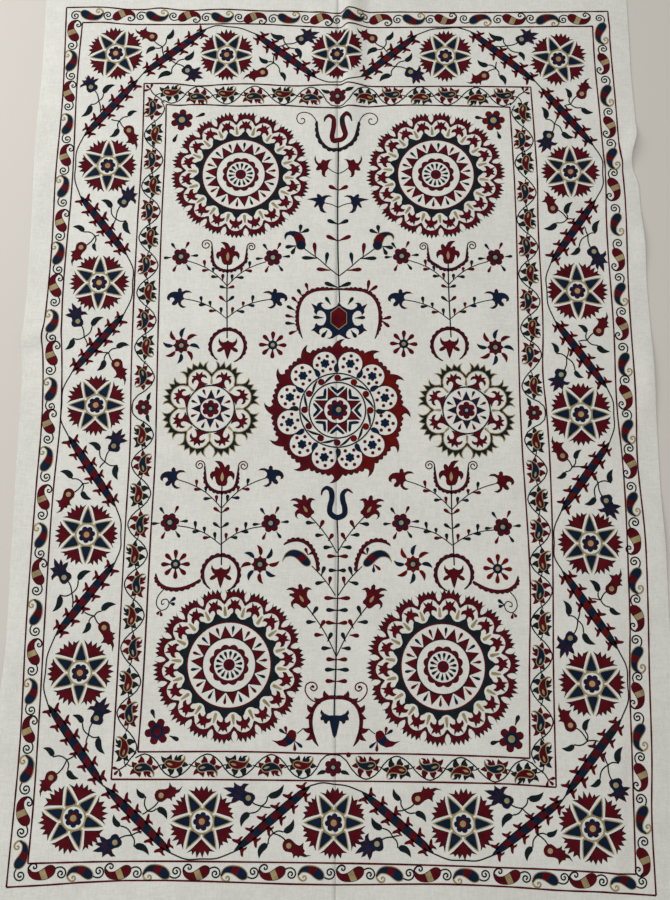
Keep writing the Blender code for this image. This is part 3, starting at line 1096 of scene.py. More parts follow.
def draw_side_sprig(s):
    x = s.x
    top, bottom = s.vertices
    work.put()
    stem = [(x, s.base + 2), (x, top), (x + 1, (top + bottom) / 2), (x + 2.5, bottom), (x + 4, s.arch[1] + 20)]
    work.line("green", smooth(stem, 4), 3.0, 1)
    scroll(x, s.base, s.scroll[0], s.scroll[1], "maroon")
    work.put(complex(x, s.base), 180 if s.flip else 0, 1, s.flip)
    work.fill("crimson", array(TULIP), 0, "green", 1.6)
    seed = leaf_shape(10j, 33j, 7.5, 0, 0.45)
    work.fill("gold", seed, 3)
    work.put()
    for (y, colours, rise) in s.pairs:
        for way, colour in zip((-1, 1), colours):
            drop(NAMES[colour], (x + way, y), (x + way * 18.5, y + rise), 8.2)
    for (kind, left, right), vertex, leaves in zip(s.ends, s.vertices, (("cgncc", "gnccg"), ("gcggg", "cgcng"))):
        for way, at, row in ((-1, left, leaves[0]), (1, right, leaves[1])):
            work.put()
            gap = 20 if kind == "flower" else 11
            start = (x + 0.5, vertex)
            target = complex(*at)
            aim = complex(*start) - target
            end = target + aim / abs(aim) * gap
            spray(start, (end.real, end.imag), 0.09 * way, row)
            if kind == "flower":
                rayed_flower(at[0], at[1], "gcggcg" if way < 0 else "gcngcn", 5)
            else:
                work.put(target, 180 if way < 0 else 0, 1.0, way < 0)
                colour = "navy" if kind == "navy" else "crimson"
                work.fill(colour, array(FLEUR), 0, "crimson" if colour == "navy" else "green", 1.4)
    arch(s.arch[0], s.arch[1], s.flip)


SIDE_SPRIGS = (
    Sprig2(
        -267, 367, (313, 230), ((307, "gc", 5), (272, "cn", 15)),
        (("flower", (-383, 387.5), (-155, 387)), ("navy", (-382, 284), (-149, 284))),
        (-261, 160), False, ((-54, 52, 14), (58, 47, 11)), "crimson",
    ),
    Sprig2(
        279, 374, (320, 230.5), ((313, "cg", 5), (276, "gc", 14)),
        (("flower", (164, 393), (395.6, 391)), ("navy", (161, 285), (395.6, 287))),
        (279, 166), True, ((-61, 44, 11), (60, 47, 12)), "crimson",
    ),
    Sprig2(
        -265, -180.5, (-233, -318), ((-243.5, "cc", 12), (-279, "gg", 12)),
        (("navy", (-380.5, -160), (-151, -154)), ("flower", (-385, -267), (-148, -267))),
        (-262, -385), False, ((-54, 49, 12), (50, 48, 12)), "crimson",
    ),
    Sprig2(
        278, -175.6, (-233, -316), ((-243.5, "cc", 12), (-278, "gg", 12)),
        (("crimson", (161, -159), (395.6, -164)), ("flower", (159, -264), (397.5, -272.5))),
        (281, -382), True, ((-51, 47, 12), (53, 47, 12)), "brick",
    ),
)


def tail_branch(way, axis, shift):
    """The long scalloped branch of a lower side sprig, with its coil and leaves."""
    def at(points):
        points = array(points)
        return (points if way > 0 else mirror(points, axis)) + shift

    work.put()
    main = [(-308, -399), (-337, -415), (-368, -421), (-393, -416), (-410, -401), (-413, -385)]
    scalloped("crimson", at(main), 7.6, 12, way, "green", 1.5, (0.7, 0.2), 2.8)
    curl = [(-391, -419), (-407, -440), (-408.5, -457), (-397.5, -469), (-384, -464), (-380, -452), (-386, -444), (-397, -448), (-396, -456), (-391, -454)]
    work.line("green", smooth(at(curl), 4), 2.3)
    for colour, base, tip, width in (
        ("navy", (-379, -451), (-365, -440), 8), ("navy", (-379, -452), (-366, -456), 8),
        ("crimson", (-400, -470), (-407, -479), 7), ("crimson", (-399, -470), (-396, -483), 7),
    ):
        b, t = at([base, tip])
        drop(colour, (b.real, b.imag), (t.real, t.imag), width)


# Trees on the middle axis

LILY = (
    (11, -3), (9, 2), (11, 10), (14, 16), (20, 18.5), (12, 19), (5, 16), (2, 17), (-3, 19), (-6, 14),
    (-8, 10), (-13, 10), (-18, 17), (-20, 29), (-22.5, 20), (-20, 11), (-14, 3), (-18, -3), (-18, -8),
    (-12, -8), (-7, -6), (-5, -9), (-5, -17), (-1, -23), (6, -24.5), (3, -20), (3, -13), (6, -8),
)
NIGHT_LILY = (
    (10, -6), (9, 0), (12, 7), (18, 10), (26, 10.5), (19, 14), (9, 13.5), (3, 10), (-2, 15), (-8, 17.5),
    (-10, 13), (-8, 8), (-17, 7), (-33, 3.5), (-18, 0), (-11, -3), (-14, -10), (-16, -16), (-12, -16.5),
    (-6, -10), (-4, -16), (-1, -25), (6, -29.5), (14.5, -29), (8, -24), (5, -17), (6, -10),
)
BIRD = (
    (12.5, 2), (11, 6), (10, 15), (3, 27), (-6, 33.5), (-17, 36.5), (-28, 36.5), (-38, 32), (-42, 24.5),
    (-41.5, 18), (-39, 13.5), (-37.5, 19.5), (-33, 25.5), (-26, 26), (-19, 20.5), (-15.5, 13), (-12.5, 4),
    (-12.2, -3), (-8.8, -9), (-3, -12.2), (4, -12), (10, -7.5),
)
CARTOUCHE = (
    (10.5, 273), (4, 264), (-8, 257), (-18, 254.5), (-26, 256), (-33, 262), (-34, 268), (-28, 270.5),
    (-36, 273), (-43, 270), (-46, 263), (-53, 267), (-59, 269.5), (-55, 262), (-51, 255), (-52, 248),
    (-48, 243), (-45, 240), (-44, 247), (-40, 251), (-34, 251.5), (-27, 247), (-23, 240), (-22, 232),
    (-23.5, 224), (-28, 216), (-35, 213.5), (-42, 215.5), (-45, 220), (-49, 216), (-50, 209), (-53, 206),
    (-59, 201), (-51, 200), (-47, 196), (-42, 192), (-36, 190.5), (-38.5, 197), (-37, 203), (-31, 207.5),
    (-23, 208), (-14, 204), (-8, 197), (-7, 190), (-11, 184), (-20, 182.5), (-13, 180), (-5, 182),
    (2, 187), (10, 191),
)
HEXAGON = ((9, 263), (-11, 247), (-11, 219), (9, 203), (29, 219), (29, 247))
LYRE = (
    (-31, 751), (-29, 760), (-19, 767.5), (-8.5, 761), (-6.6, 745), (-8.5, 727), (-11, 710), (-6, 698),
    (1.6, 700), (16, 703), (22.5, 712), (19, 730), (15, 747), (15.5, 762), (22.5, 769), (33, 764),
    (39, 749),
)
HORSESHOE = (
    (10.7, 306), (-13, 306), (-32, 306), (-54, 302), (-74, 290), (-84.5, 275), (-90.5, 256), (-92, 234),
    (-91, 217), (-86, 198), (-79, 181),
)


def both_sides(axis):
    """Place shapes as drawn, then mirrored about the tree's stem."""
    yield lambda: work.put()
    yield lambda: work.put(2 * axis, 180, 1, True)


def stem_pairs(rows, axis, width=8.4):
    for y, colour, reach, rise in rows:
        for way in (-1, 1):
            tip = (axis + way * (reach + rng.normal(0, 0.8)), y + rise)
            drop(NAMES[colour], (axis, y), tip, width)


def upper_tree():
    work.put()
    stem = [(5.4, 702), (5.3, 640), (4.6, 500), (7.5, 350), (10.7, 273)]
    work.line("green", smooth(stem, 3), 3.2, 0)
    s = np.linspace(0, 1, 4 * (len(LYRE) - 1) + 1)
    width = 13.0 * np.interp(s, (0, 0.14, 0.25, 0.8, 0.9, 1), (0.22, 0.75, 0.95, 1, 0.85, 0.2))
    path = smooth(LYRE, 4)
    work.line("green", path, width, 0)
    work.line("crimson", path[5:-5], (width - 3.2)[5:-5], 1)
    arms = [
        (-51, 751), (-49.6, 730), (-45, 708), (-32, 687), (-16, 676), (0, 675), (21, 679.5), (40, 693),
        (50, 711), (54, 730), (58, 748),
    ]
    scalloped("green", arms, 8.0, 14, -1, None, 0, (0.5, 0.5), 3.0)
    arms = smooth(arms, 3)
    work.line("maroon", arms + 2.4j * np.gradient(arms) / abs(np.gradient(arms)), 2.2, 1)
    work.line("maroon", smooth([(-50, 749), (-56, 760), (-66, 771), (-83, 776), (-97, 771), (-101.5, 759), (-97, 748), (-88, 744.5), (-81, 751), (-84, 759), (-91, 758)], 4), 2.4)
    work.line("maroon", smooth([(58, 748), (66, 764), (84, 775), (99, 770), (105, 757), (99, 746), (88, 744), (82, 751), (85, 759), (91, 758)], 4), 2.4)
    for side in both_sides(5.0):
        side()
        work.line("green", curve_between(5.5 + 609.5j, -19 + 623.5j, 0.06), 2.2)
        work.line("green", curve_between(4.5 + 519.5j, -27 + 531j, -0.06), 2.2)
        work.fill("crimson", array(LILY) * 1.1 + (-31 + 627j), 0, "green", 1.3)
        work.fill("navy", array(NIGHT_LILY) * 1.08 + (-38 + 537j), 0, "crimson", 1.3)
    work.put()
    stem_pairs(((565, "c", 24, 12), (475, "g", 28, 11), (431, "c", 31, 14), (311, "g", 33, 12)), 6.0, 10.4)
    for side in both_sides(9.0):
        side()
        work.line("green", smooth([(8, 341), (-20, 364), (-44, 386), (-60, 397), (-78, 411)], 4), 2.6)
        for colour, base, tip in (
            ("crimson", (-12, 355), (-47, 358)), ("navy", (-24, 370), (-20, 402)), ("green", (-43, 386), (-84, 387)),
            ("crimson", (-50, 391), (-53, 427)), ("green", (-89, 452), (-87, 474)), ("green", (-87, 452), (-66, 461)),
            ("green", (-99, 418), (-125, 414)), ("green", (-99, 416), (-109, 396)),
        ):
            drop(colour, base, tip, 10.0)
        scalloped("crimson", HORSESHOE, 7.8, 18, -1, "green", 1.7, (0.4, 0.2), 2.6)
    work.put()
    for way in (1, -1):
        head = complex(9 - 95 * way, 420)
        work.put(head, 0 if way > 0 else 180, 1, way < 0)
        shape = array(BIRD)
        if way < 0:
            work.fill("gold", shape, 0)
            shape = inset(anticlockwise(shape), 1.5)
        work.fill("crimson", cut(shape, -19 + 22j, -15 - 12j), 1)
        work.fill("navy", cut(shape, -19 + 22j, 15 + 12j), 1)
        work.dot("navy", 0, 11.3, 2, 18)
    work.put()
    for colour, base, tip in (
        ("crimson", (-67, 302), (-73, 322)), ("green", (-82, 289), (-93, 306)), ("crimson", (-91.5, 271.5), (-107, 286)),
        ("green", (-98, 251.5), (-119, 263)), ("crimson", (-100, 234), (-122.5, 239)),
        ("green", (-97.5, 217.5), (-122.5, 219.5)), ("crimson", (-92.5, 200.5), (-113, 192)),
        ("crimson", (79, 299), (83, 331)), ("crimson", (80, 299), (104, 316)),
        ("crimson", (112, 230), (138, 237)), ("crimson", (112, 229), (133, 211)),
    ):
        drop(colour, base, tip, 8.6)
    left = array(CARTOUCHE)
    right = mirror(left, 10.0)[::-1]
    work.put()
    work.fill("navy", np.concatenate([left, right]), 0, "crimson", 1.0)
    work.fill("gold", array(HEXAGON), 2)
    work.fill("crimson", 9 + 233j + (array(HEXAGON) - (9 + 233j)) * 0.93, 3)
    for side in both_sides(10.0):
        side()
        drop("green", (-11, 267), (-24, 286), 8.6)
        drop("green", (-28, 233), (-54, 235), 8.6)
        drop("green", (-19, 202), (-32, 184), 9.6)


TILTED = (
    (14, -23), (9, -25.5), (3, -23), (-4, -17), (-10, -14.5), (-15, -16), (-16, -21), (-12.5, -27.5),
    (-20, -21), (-21, -13), (-17, -7), (-13, -4), (-19, 0), (-25, 2.5), (-24, 6.5), (-17, 7), (-13, 8),
    (-18, 13), (-25, 14.5), (-32, 14), (-26, 19), (-17, 20.5), (-8, 17), (-4.5, 17), (-5, 25), (-1.5, 28.5),
    (3.5, 25), (6, 16), (12, 21), (19, 20.5), (26, 16), (18, 15), (15, 9), (15, 2), (18, -4), (23, -9),
    (23, -14), (18, -16.5),
)
LOW_BIRD = (
    (10, -6.6), (11.5, 2.2), (5.7, 11), (-5.3, 22), (-18.6, 29), (-31.8, 30.5), (-42.8, 26.5), (-51.7, 16.8),
    (-56, 0), (-49.5, 9.7), (-40.6, 13.3), (-29.6, 12.3), (-18.6, 4.4), (-9.7, -4.4), (1.3, -9.7),
)
LOWER_LYRE = (
    (-29.5, -201), (-27, -190), (-17.5, -183), (-8, -188), (-4.5, -200), (-5, -212), (-9, -227.5),
    (-8.5, -242), (8, -253), (25, -245), (26, -230.5), (21, -211), (21.5, -196), (32, -187.5), (44.7, -195),
)
CRESCENT = (
    (-116.5, -317.5), (-100, -308), (-77.5, -307), (-58, -317.5), (-46, -335.5), (-38.5, -355), (-36, -378),
)
HANGING_LILY = (
    (5, -699), (-8, -699.5), (-18, -695), (-25, -687), (-27.5, -694), (-24, -700), (-27, -705), (-26, -710),
    (-20, -710), (-18, -716), (-13, -718), (-9, -712), (-6, -711), (-3, -725), (1, -742), (5, -748.5),
)
GATE = (
    (-31, -766), (-40, -752), (-47, -730), (-48, -704), (-42, -684), (-28, -668), (-10, -661), (8.3, -660),
)
SIDE_BUD = (
    (-90, -731), (-82, -735), (-80.5, -744), (-83, -754), (-92, -762), (-105, -768), (-119, -765.5),
    (-127.5, -759), (-136.5, -754), (-124, -755.5), (-113, -753), (-106, -747), (-100, -737), (-96, -732),
)


def lower_tree():
    work.put()
    stem = [(8, -253), (10.2, -300), (10.2, -450), (8.1, -550), (7, -620), (5, -660), (4.5, -699)]
    work.line("green", smooth(stem, 3), 3.2, 0)
    path = smooth(LOWER_LYRE, 4)
    s = np.linspace(0, 1, len(path))
    width = 13.0 * np.interp(s, (0, 0.14, 0.25, 0.8, 0.9, 1), (0.2, 0.7, 1, 1, 0.7, 0.2))
    work.line("maroon", path, width, 0)
    work.line("navy", path[4:-4], (width - 2.4)[4:-4], 1)
    for side in both_sides(8.5):
        side()
        for hub, root, leaves in (
            (-70 - 229j, 8 - 335j, "gcgcg"), (-76 - 436j, 8 - 569j, "ggccgg"), 
        ):
            end = hub + (15 - 22j)
            path = curve_between(root, end, -0.04)
            work.line("green", path, 2.5)
            for k, colour in enumerate(leaves):
                share = 0.16 + 0.66 * k / (len(leaves) - 1)
                at = root + (end - root) * share
                angle = 64 if k % 2 else 183
                tip = at + polar(22.5 + rng.normal(0, 1.2), angle + rng.normal(0, 4))
                drop(NAMES[colour], (at.real, at.imag), (tip.real, tip.imag), 9.6)
            work.fill("crimson", array(TILTED) * 1.04 + hub, 0, "green", 1.5)
            work.fill("gold", leaf_shape(hub + 8 - 12j, hub - 2 + 3j, 6.5, 0, 0.4), 3)
        scalloped("crimson", CRESCENT, 7.8, 12, 1, "green", 1.8, (0.3, 0.8), 2.8)
        work.line("green", smooth([(5.5, -433), (-10, -410), (-28, -388), (-50, -366)], 4), 2.5)
        for colour, base, tip in (
            ("crimson", (-9.5, -409), (-6.5, -389)), ("green", (-19, -401), (-42, -406.5)),
            ("green", (-28, -388.5), (-20, -366)),
        ):
            drop(colour, base, tip, 9.2)
        scalloped("crimson", GATE, 8.4, 6, 1, "green", 1.6, (0.2, 1.0), 0.6)
        for tip, base, width in (
            ((-19, -645), (-11, -662), 13), ((-42, -661), (-24, -669), 12), ((-57, -676), (-44, -690), 13),
            ((-61, -706), (-46, -698), 11), ((-60, -754), (-43, -738), 12), ((-67, -728), (-44, -731), 13),
        ):
            thorn = leaf_shape(complex(*base), complex(*tip), width, 0.12, 0.22)
            work.fill("crimson", thorn, 1, "green", 1.4)
        spiral = [(-27, -671), (-42, -669), (-56, -658), (-62, -645), (-59, -632), (-48, -627), (-37, -632), (-35, -640), (-42, -646), (-50, -640), (-45, -634)]
        work.line("crimson", smooth(spiral, 4), 2.9)
        work.dot("crimson", -44 - 637j, 3.2, 0, 10)
        work.line("green", smooth([(-80, -739), (-74, -735), (-66, -728)], 3), 2.0)
        shape = anticlockwise(array(SIDE_BUD))
        line_a, line_b = -84 - 755j, -104 - 742j
        middle_a, middle_b = -100 - 766j, -108 - 748j
        work.fill("crimson", cut(shape, line_a, line_a - line_b), 0)
        rest = cut(shape, line_a, line_b - line_a)
        work.fill("navy", cut(rest, middle_a, middle_a - middle_b), 0)
        work.fill("crimson", cut(rest, middle_a, middle_b - middle_a), 0)
        for colour, base, tip in (
            ("navy", (-103, -741), (-120, -730)), ("crimson", (-103, -741), (-106, -723)),
            ("navy", (-84, -755), (-67, -769)), ("crimson", (-85, -757), (-83.5, -777)),
        ):
            drop(colour, base, tip, 7.2)
    work.put()
    left = array(HANGING_LILY)
    work.fill("navy", np.concatenate([left, mirror(left, 5.5)[-2:0:-1]]), 0, "crimson", 1.2)
    for way in (1, -1):
        head = complex(8.5 - 72 * way, -358)
        work.put(head, 0 if way > 0 else 180, 1, way < 0)
        shape = anticlockwise(smooth(LOW_BIRD, 2, True))
        work.fill("navy", shape, 0, "gold", 1.7)
        across = 1j * polar(1.0, 132)
        band = cut(inset(shape, 1.7), polar(8, 132), -across)
        work.fill("crimson", cut(band, polar(21, 132), across), 2)
    work.put()
    for colour, base, tip in (
        ("crimson", (-60, -340), (-66, -324)), ("crimson", (-60, -340), (-46, -334)),
        ("green", (79, -338), (80, -322)), ("crimson", (78, -339), (65, -331)),
        ("navy", (94, -362), (94, -380)), ("crimson", (95, -361), (110, -374)),
    ):
        drop(colour, base, tip, 7.4)
    stem_pairs(
        (
            (-343, "c", 25, 0), (-375.5, "g", 20, 0), (-439.5, "c", 31, 1), (-466.5, "g", 26, 1),
            (-496.5, "c", 25, 3), (-577, "c", 26, 1), (-598.5, "g", 28, -1), (-625, "c", 26, 1),
        ),
        9.0, 9.6,
    )
    work.dot("crimson", 37 - 784j, 5.5, 1, 10)


# Inner guard: paisleys on a waving vine

INNER_BODY = (
    (0, -1), (3, 4.5), (10, 7), (18, 5.5), (28, 3.5), (36, 4.5), (40.5, 9), (42.5, 15), (44.5, 8),
    (41.5, 0), (36, -7), (27, -12), (18, -13.5), (9, -11), (2.5, -7),
)
INNER_LEAVES = (
    ((6, 2), (-7.5, 13), 9, 0.1), ((7, 3), (14, 17), 10, -0.1), ((26, 2), (26, 16), 7, 0.1),
    ((34, 3), (39, 16), 7, 0.35), ((5, -5), (-5, -14), 10, -0.1), ((13, -9), (13, -27), 12, 0.12),
    ((30, -9), (32, -27), 11, 0.14), ((37, -3), (52, -5), 9, 0.0),
)
# Turn of the side, place of its flower, then places along it with 1 for a blue paisley:
# first those that head on towards the flower's near side, then those that head back.
# red_curls: the side to which the red tails of each group curl
# starts_blue: whether each group's first paisley is blue
InnerRow = namedtuple("InnerRow", "turn flower first second red_curls starts_blue")
INNER_ROWS = (
    InnerRow(0, 2, (-424, -354, -282, -210, -137, -66), (74, 140, 214, 284, 358, 427), (1, -1), (0, 0)),
    InnerRow(180, -3, (-433, -366, -290, -220, -146, -77), (66, 136, 210, 280, 354, 422), (1, -1), (0, 0)),
    InnerRow(
        -90, -7.5, (-784, -712, -643, -574, -506, -437, -365, -295, -224, -156, -81),
        (60, 129, 200, 272, 342, 410, 482, 554, 629, 697, 772), (1, -1), (1, 0),
    ),
    InnerRow(
        90, 0.6, (-779, -710, -635, -566, -491, -419, -351, -279, -207, -138, -66),
        (66, 144, 210, 279, 349, 419, 491, 563, 641, 704, 779), (-1, -1), (0, 0),
    ),
)
VINE_REACH = 25.0


def inner_paisley(blue):
    """A gold-edged paisley with an eye, on leaves."""
    leaves = "crimson" if blue else "green"
    body = "navy" if blue else "crimson"
    for base, tip, width, bend in INNER_LEAVES:
        leaf(leaves, complex(*base), complex(*tip), width * 1.25, bend, 0, None, 0.2)
    shape = anticlockwise(smooth(INNER_BODY, 2, True))
    work.fill("gold", shape, 1)
    work.fill(body, inset(shape, 1.7), 2)
    work.fill("gold", leaf_shape(5 - 1j, 18 - 4.5j, 4.6, 0, 0.5), 3)
    work.line("green", np.array([1 - 4j, -9 - 5j, -17 - 9j]), 2.2, 0)


def side_line(turn, points):
    """Place of points given along a side and outwards from the middle of its band."""
    frames = {0: "top", 180: "bottom", -90: "left", 90: "right"}
    lines = []
    for sides in (FRAME_C, FRAME_D):
        line = array(sides[frames[turn]])
        lines.append(line * polar(1.0, -turn))
    placed = []
    for along, out in points:
        levels = []
        for line in lines:
            order = np.argsort(line.real)
            levels.append(np.interp(along, line.real[order], line.imag[order]))
        placed.append(complex(along, np.mean(levels) + out))
    return np.array(placed)


def draw_inner_guard():
    for row in INNER_ROWS:
        turn = row.turn
        spin = polar(1.0, turn)
        knots = []
        for group, way, red_curl in ((row.first, 1, row.red_curls[0]), (row.second, -1, row.red_curls[1])):
            for k, along in enumerate(group):
                blue = k % 2 == (0 if row.starts_blue[way < 0] else 1)
                curl = -red_curl if blue else red_curl
                knots += [(along - 20, -16.5 * curl), (along, -VINE_REACH * curl), (along + 20, -16.5 * curl)]
                place = side_line(turn, [(along - 22.5 * way, 6.5 * curl)])[0] * spin
                work.put(place, turn + 90 - 90 * way + rng.normal(0, 2), 1.06, curl * way < 0)
                inner_paisley(blue)
            if way > 0:
                reach = -VINE_REACH * np.sign(knots[-1][1])
                knots += [(row.flower - 16, reach), (row.flower + 16, reach)]
        work.put()
        path = smooth(side_line(turn, knots), 3) * spin
        work.line("green", path, 2.8)
        middle = side_line(turn, [(row.flower, 0)])[0] * spin
        work.put(middle, turn, 1.15 if turn == 0 else 1.0)
        work.fill("crimson", petals_shape(6, 12.5, 7.4, 30), 1, "green", 1.4)
        work.dot("navy", 0, 8.6, 3, 16)
        work.dot("gold", 0, 4.2, 4, 10)
        for way in (1, -1):
            leaf("green", 16 * way + 10j, 37 * way + 16j, 9, -0.1 * way, 0)
    for x, y, turn in ((-478, 837, 135), (480, 836, 45), (-477, -819, 225), (485, -834, -45)):
        work.put(complex(x, y), turn)
        for angle in (60, 0, -60):
            tip = polar(16, angle)
            drop("crimson", (0, 0), (tip.real, tip.imag), 6.6)
        work.line("green", smooth([0, -14 + 3j, -36, -52], 4), 2.8)


draw_inner_guard()
for spec in SUNS:
    sun(spec, "crimson")
for place in LACE:
    lace(complex(*place))
heart()
corner_flower(-394, 753, 25, (((-359, 761), (-336, 771)), ((-404, 714), (-414, 692))))
corner_flower(400, 757, 5, (((376, 762), (353, 766)), ((409, 727), (416, 707))), "gold", "brick")
corner_flower(-395, -737, 10, (((-402, -708), (-410, -689)), ((-367, -746), (-346, -755))), "crimson")
corner_flower(405, -747.5, 20, (((379, -752), (357, -758)), ((414, -718), (423, -696))))
for spec in SIDE_SPRIGS:
    draw_side_sprig(spec)
pinwheel(-374, 161)
eight_star(-151.5, 164)
eight_star(167.5, 169)
pinwheel(390.6, 162)
eight_star(-368, -364)
pinwheel(-171, -363, ("crimson", "navy"), -1)
eight_star(383, -369, "brick")
pinwheel(186, -360, ("navy", "brick"), 1, "brick")
tail_branch(1, 0, 0)
tail_branch(-1, 8.5, 0)
upper_tree()
lower_tree()


# Thread meshes


# Step of the cells that shapes are cut into where the cloth isn't flat, in millimetres
CELL = 5.0
CELL_LINES = np.arange(-1150, 1150, CELL)
RIDGE_LINES = (np.arange(1, 37) * NEAR_STEP + SEAM_GAP / 2) / MM


def plate(verts, faces, top, layer, triangles, walls):
    """Add a low plate: its upper face, its underside and its sides."""
    count = len(top)
    first = len(verts)
    high = THREAD_HEIGHT + LAYER_STEP * layer
    verts += [(p.real, p.imag, high) for p in top]
    verts += [(p.real, p.imag, -THREAD_DEPTH) for p in top]
    for a, b, c in triangles:
        faces.append((first + a, first + b, first + c))
        faces.append((first + count + a, first + count + c, first + count + b))
    for a, b in walls:
        faces.append((first + a, first + count + a, first + count + b, first + b))


def on_cloth(points):
    """Drawn points in the cloth's metres."""
    return points * MM + DRAWING_SHIFT_X


def on_ridge(points):
    at = on_cloth(points)
    away = at.real - seam_x(at.imag)
    return (at.imag > RIDGE[0][0]) & (away > -0.005) & (away < RIDGE_END + 0.005)


def rough(points):
    """Where the cloth isn't flat."""
    at = on_cloth(points)
    return underside(at.real, at.imag) > 0.0003


def slices(parts, stops, origin, along):
    """Convex parts, each cut by parallel lines at the given distances from the origin."""
    made = []
    across = -1j * along / abs(along)
    for rest in parts:
        reach = (np.conj(across) * (rest - origin)).real
        for stop in stops[(stops > reach.min()) & (stops < reach.max())]:
            at = origin + stop * across
            made.append(cut(rest, at, along))
            rest = cut(rest, at, -along)
        made.append(rest)
    return [part for part in made if len(part) > 2]


def laid_parts(parts, ridge):
    """Convex parts in pieces small enough to follow the cloth, and its columns on the ridge."""
    if ridge:
        foot = (seam_x(0.0) - DRAWING_SHIFT_X) / MM + 0j
        parts = slices(parts, RIDGE_LINES, foot, complex(SEAM_TOP_X - SEAM_BOTTOM_X, 2 * HALF_LENGTH))
    else:
        parts = slices(parts, CELL_LINES, 0j, 1j)
    return slices(parts, CELL_LINES, 0j, -1 + 0j)


def laid_edges(*edges):
    """Edges of one strip, with more points where the cloth isn't flat."""
    first = edges[0]
    ridge = on_ridge(first)
    uneven = ridge | rough(first)
    if not uneven.any():
        return edges
    stops = np.arange(len(first))
    gap = abs(np.diff(first))
    fine = [stops]
    for k in stops[:-1]:
        if uneven[k] or uneven[k + 1]:
            count = int(np.ceil(gap[k] / (2.0 if ridge[k] or ridge[k + 1] else CELL)))
            fine.append(k + np.arange(1, count) / max(count, 1))
    fine = np.unique(np.concatenate(fine))
    return [np.interp(fine, stops, e.real) + 1j * np.interp(fine, stops, e.imag) for e in edges]


def fill_plate(verts, faces, outline, layer):
    """Plate of a closed outline."""
    count = len(outline)
    ring = [Vector((p.real, p.imag, 0.0)) for p in outline]
    triangles = []
    for a, b, c in tessellate_polygon([ring]):
        turn = ((outline[b] - outline[a]).conjugate() * (outline[c] - outline[a])).imag
        triangles.append((a, b, c) if turn > 0 else (a, c, b))
    middle = outline.mean()
    spots = np.concatenate([outline, (outline + middle) / 2, [middle]])
    if not rough(spots).any():
        plate(verts, faces, outline, layer, triangles, [(k, (k + 1) % count) for k in range(count)])
        return
    parts = laid_parts([outline[list(corners)] for corners in triangles], on_ridge(spots).any())
    for part in parts:
        plate(verts, faces, part, layer, [(0, k, k + 1) for k in range(1, len(part) - 1)], ())
    edge = laid_edges(np.append(outline, outline[0]))[0]
    plate(verts, faces, edge, layer, (), [(k, k + 1) for k in range(len(edge) - 1)])


def ribbon_plate(verts, faces, left, right, layer, closed):
    """Plate of a strip between two edges."""
    if closed:
        left, right = np.append(left, left[0]), np.append(right, right[0])
    left, right = laid_edges(left, right)
    count = len(left)
    triangles = []
    walls = []
    for k in range(count - 1):
        triangles += [(k, count + k, count + k + 1), (k, count + k + 1, k + 1)]
        walls += [(k + 1, k), (count + k, count + k + 1)]
    if not closed:
        walls += [(0, count), (2 * count - 1, count - 1)]
    plate(verts, faces, np.concatenate([left, right]), layer, triangles, walls)


def thread_mesh(name, fills, ribbons):
    """One mesh of all plates of a colour, laid on the cloth."""
    verts = []
    faces = []
    for outline, layer in fills:
        fill_plate(verts, faces, outline, layer)
    for left, right, layer, closed in ribbons:
        ribbon_plate(verts, faces, left, right, layer, closed)
    places = np.array(verts)
    at = on_cloth(places[:, 0] + 1j * places[:, 1])
    places = np.stack([at.real, at.imag, places[:, 2] + cloth_top(at.real, at.imag)], -1)
    mesh = bpy.data.meshes.new(name)
    mesh.from_pydata(places.tolist(), [], faces)
    mesh.update()
    return mesh


def add_object(name, mesh, material):
    obj = bpy.data.objects.new(name, mesh)
    bpy.context.scene.collection.objects.link(obj)
    mesh.materials.append(material)
    return obj


# Materials


def to_linear(colour):
    values = []
    for c in colour:
        c = c / 255.0
        values.append(c / 12.92 if c <= 0.04045 else ((c + 0.055) / 1.055) ** 2.4)
    return (*values, 1.0)


def shade(colour, factor):
    return (*[min(1.0, c * factor) for c in colour[:3]], 1.0)


def new_material(name):
    material = bpy.data.materials.new(name)
    material.use_nodes = True
    tree = material.node_tree
    shader = tree.nodes["Principled BSDF"]
    return material, tree, shader


def node(tree, kind, **values):
    made = tree.nodes.new(kind)
    for key, value in values.items():
        if key in made.inputs:
            made.inputs[key].default_value = value
        else:
            setattr(made, key, value)
    return made


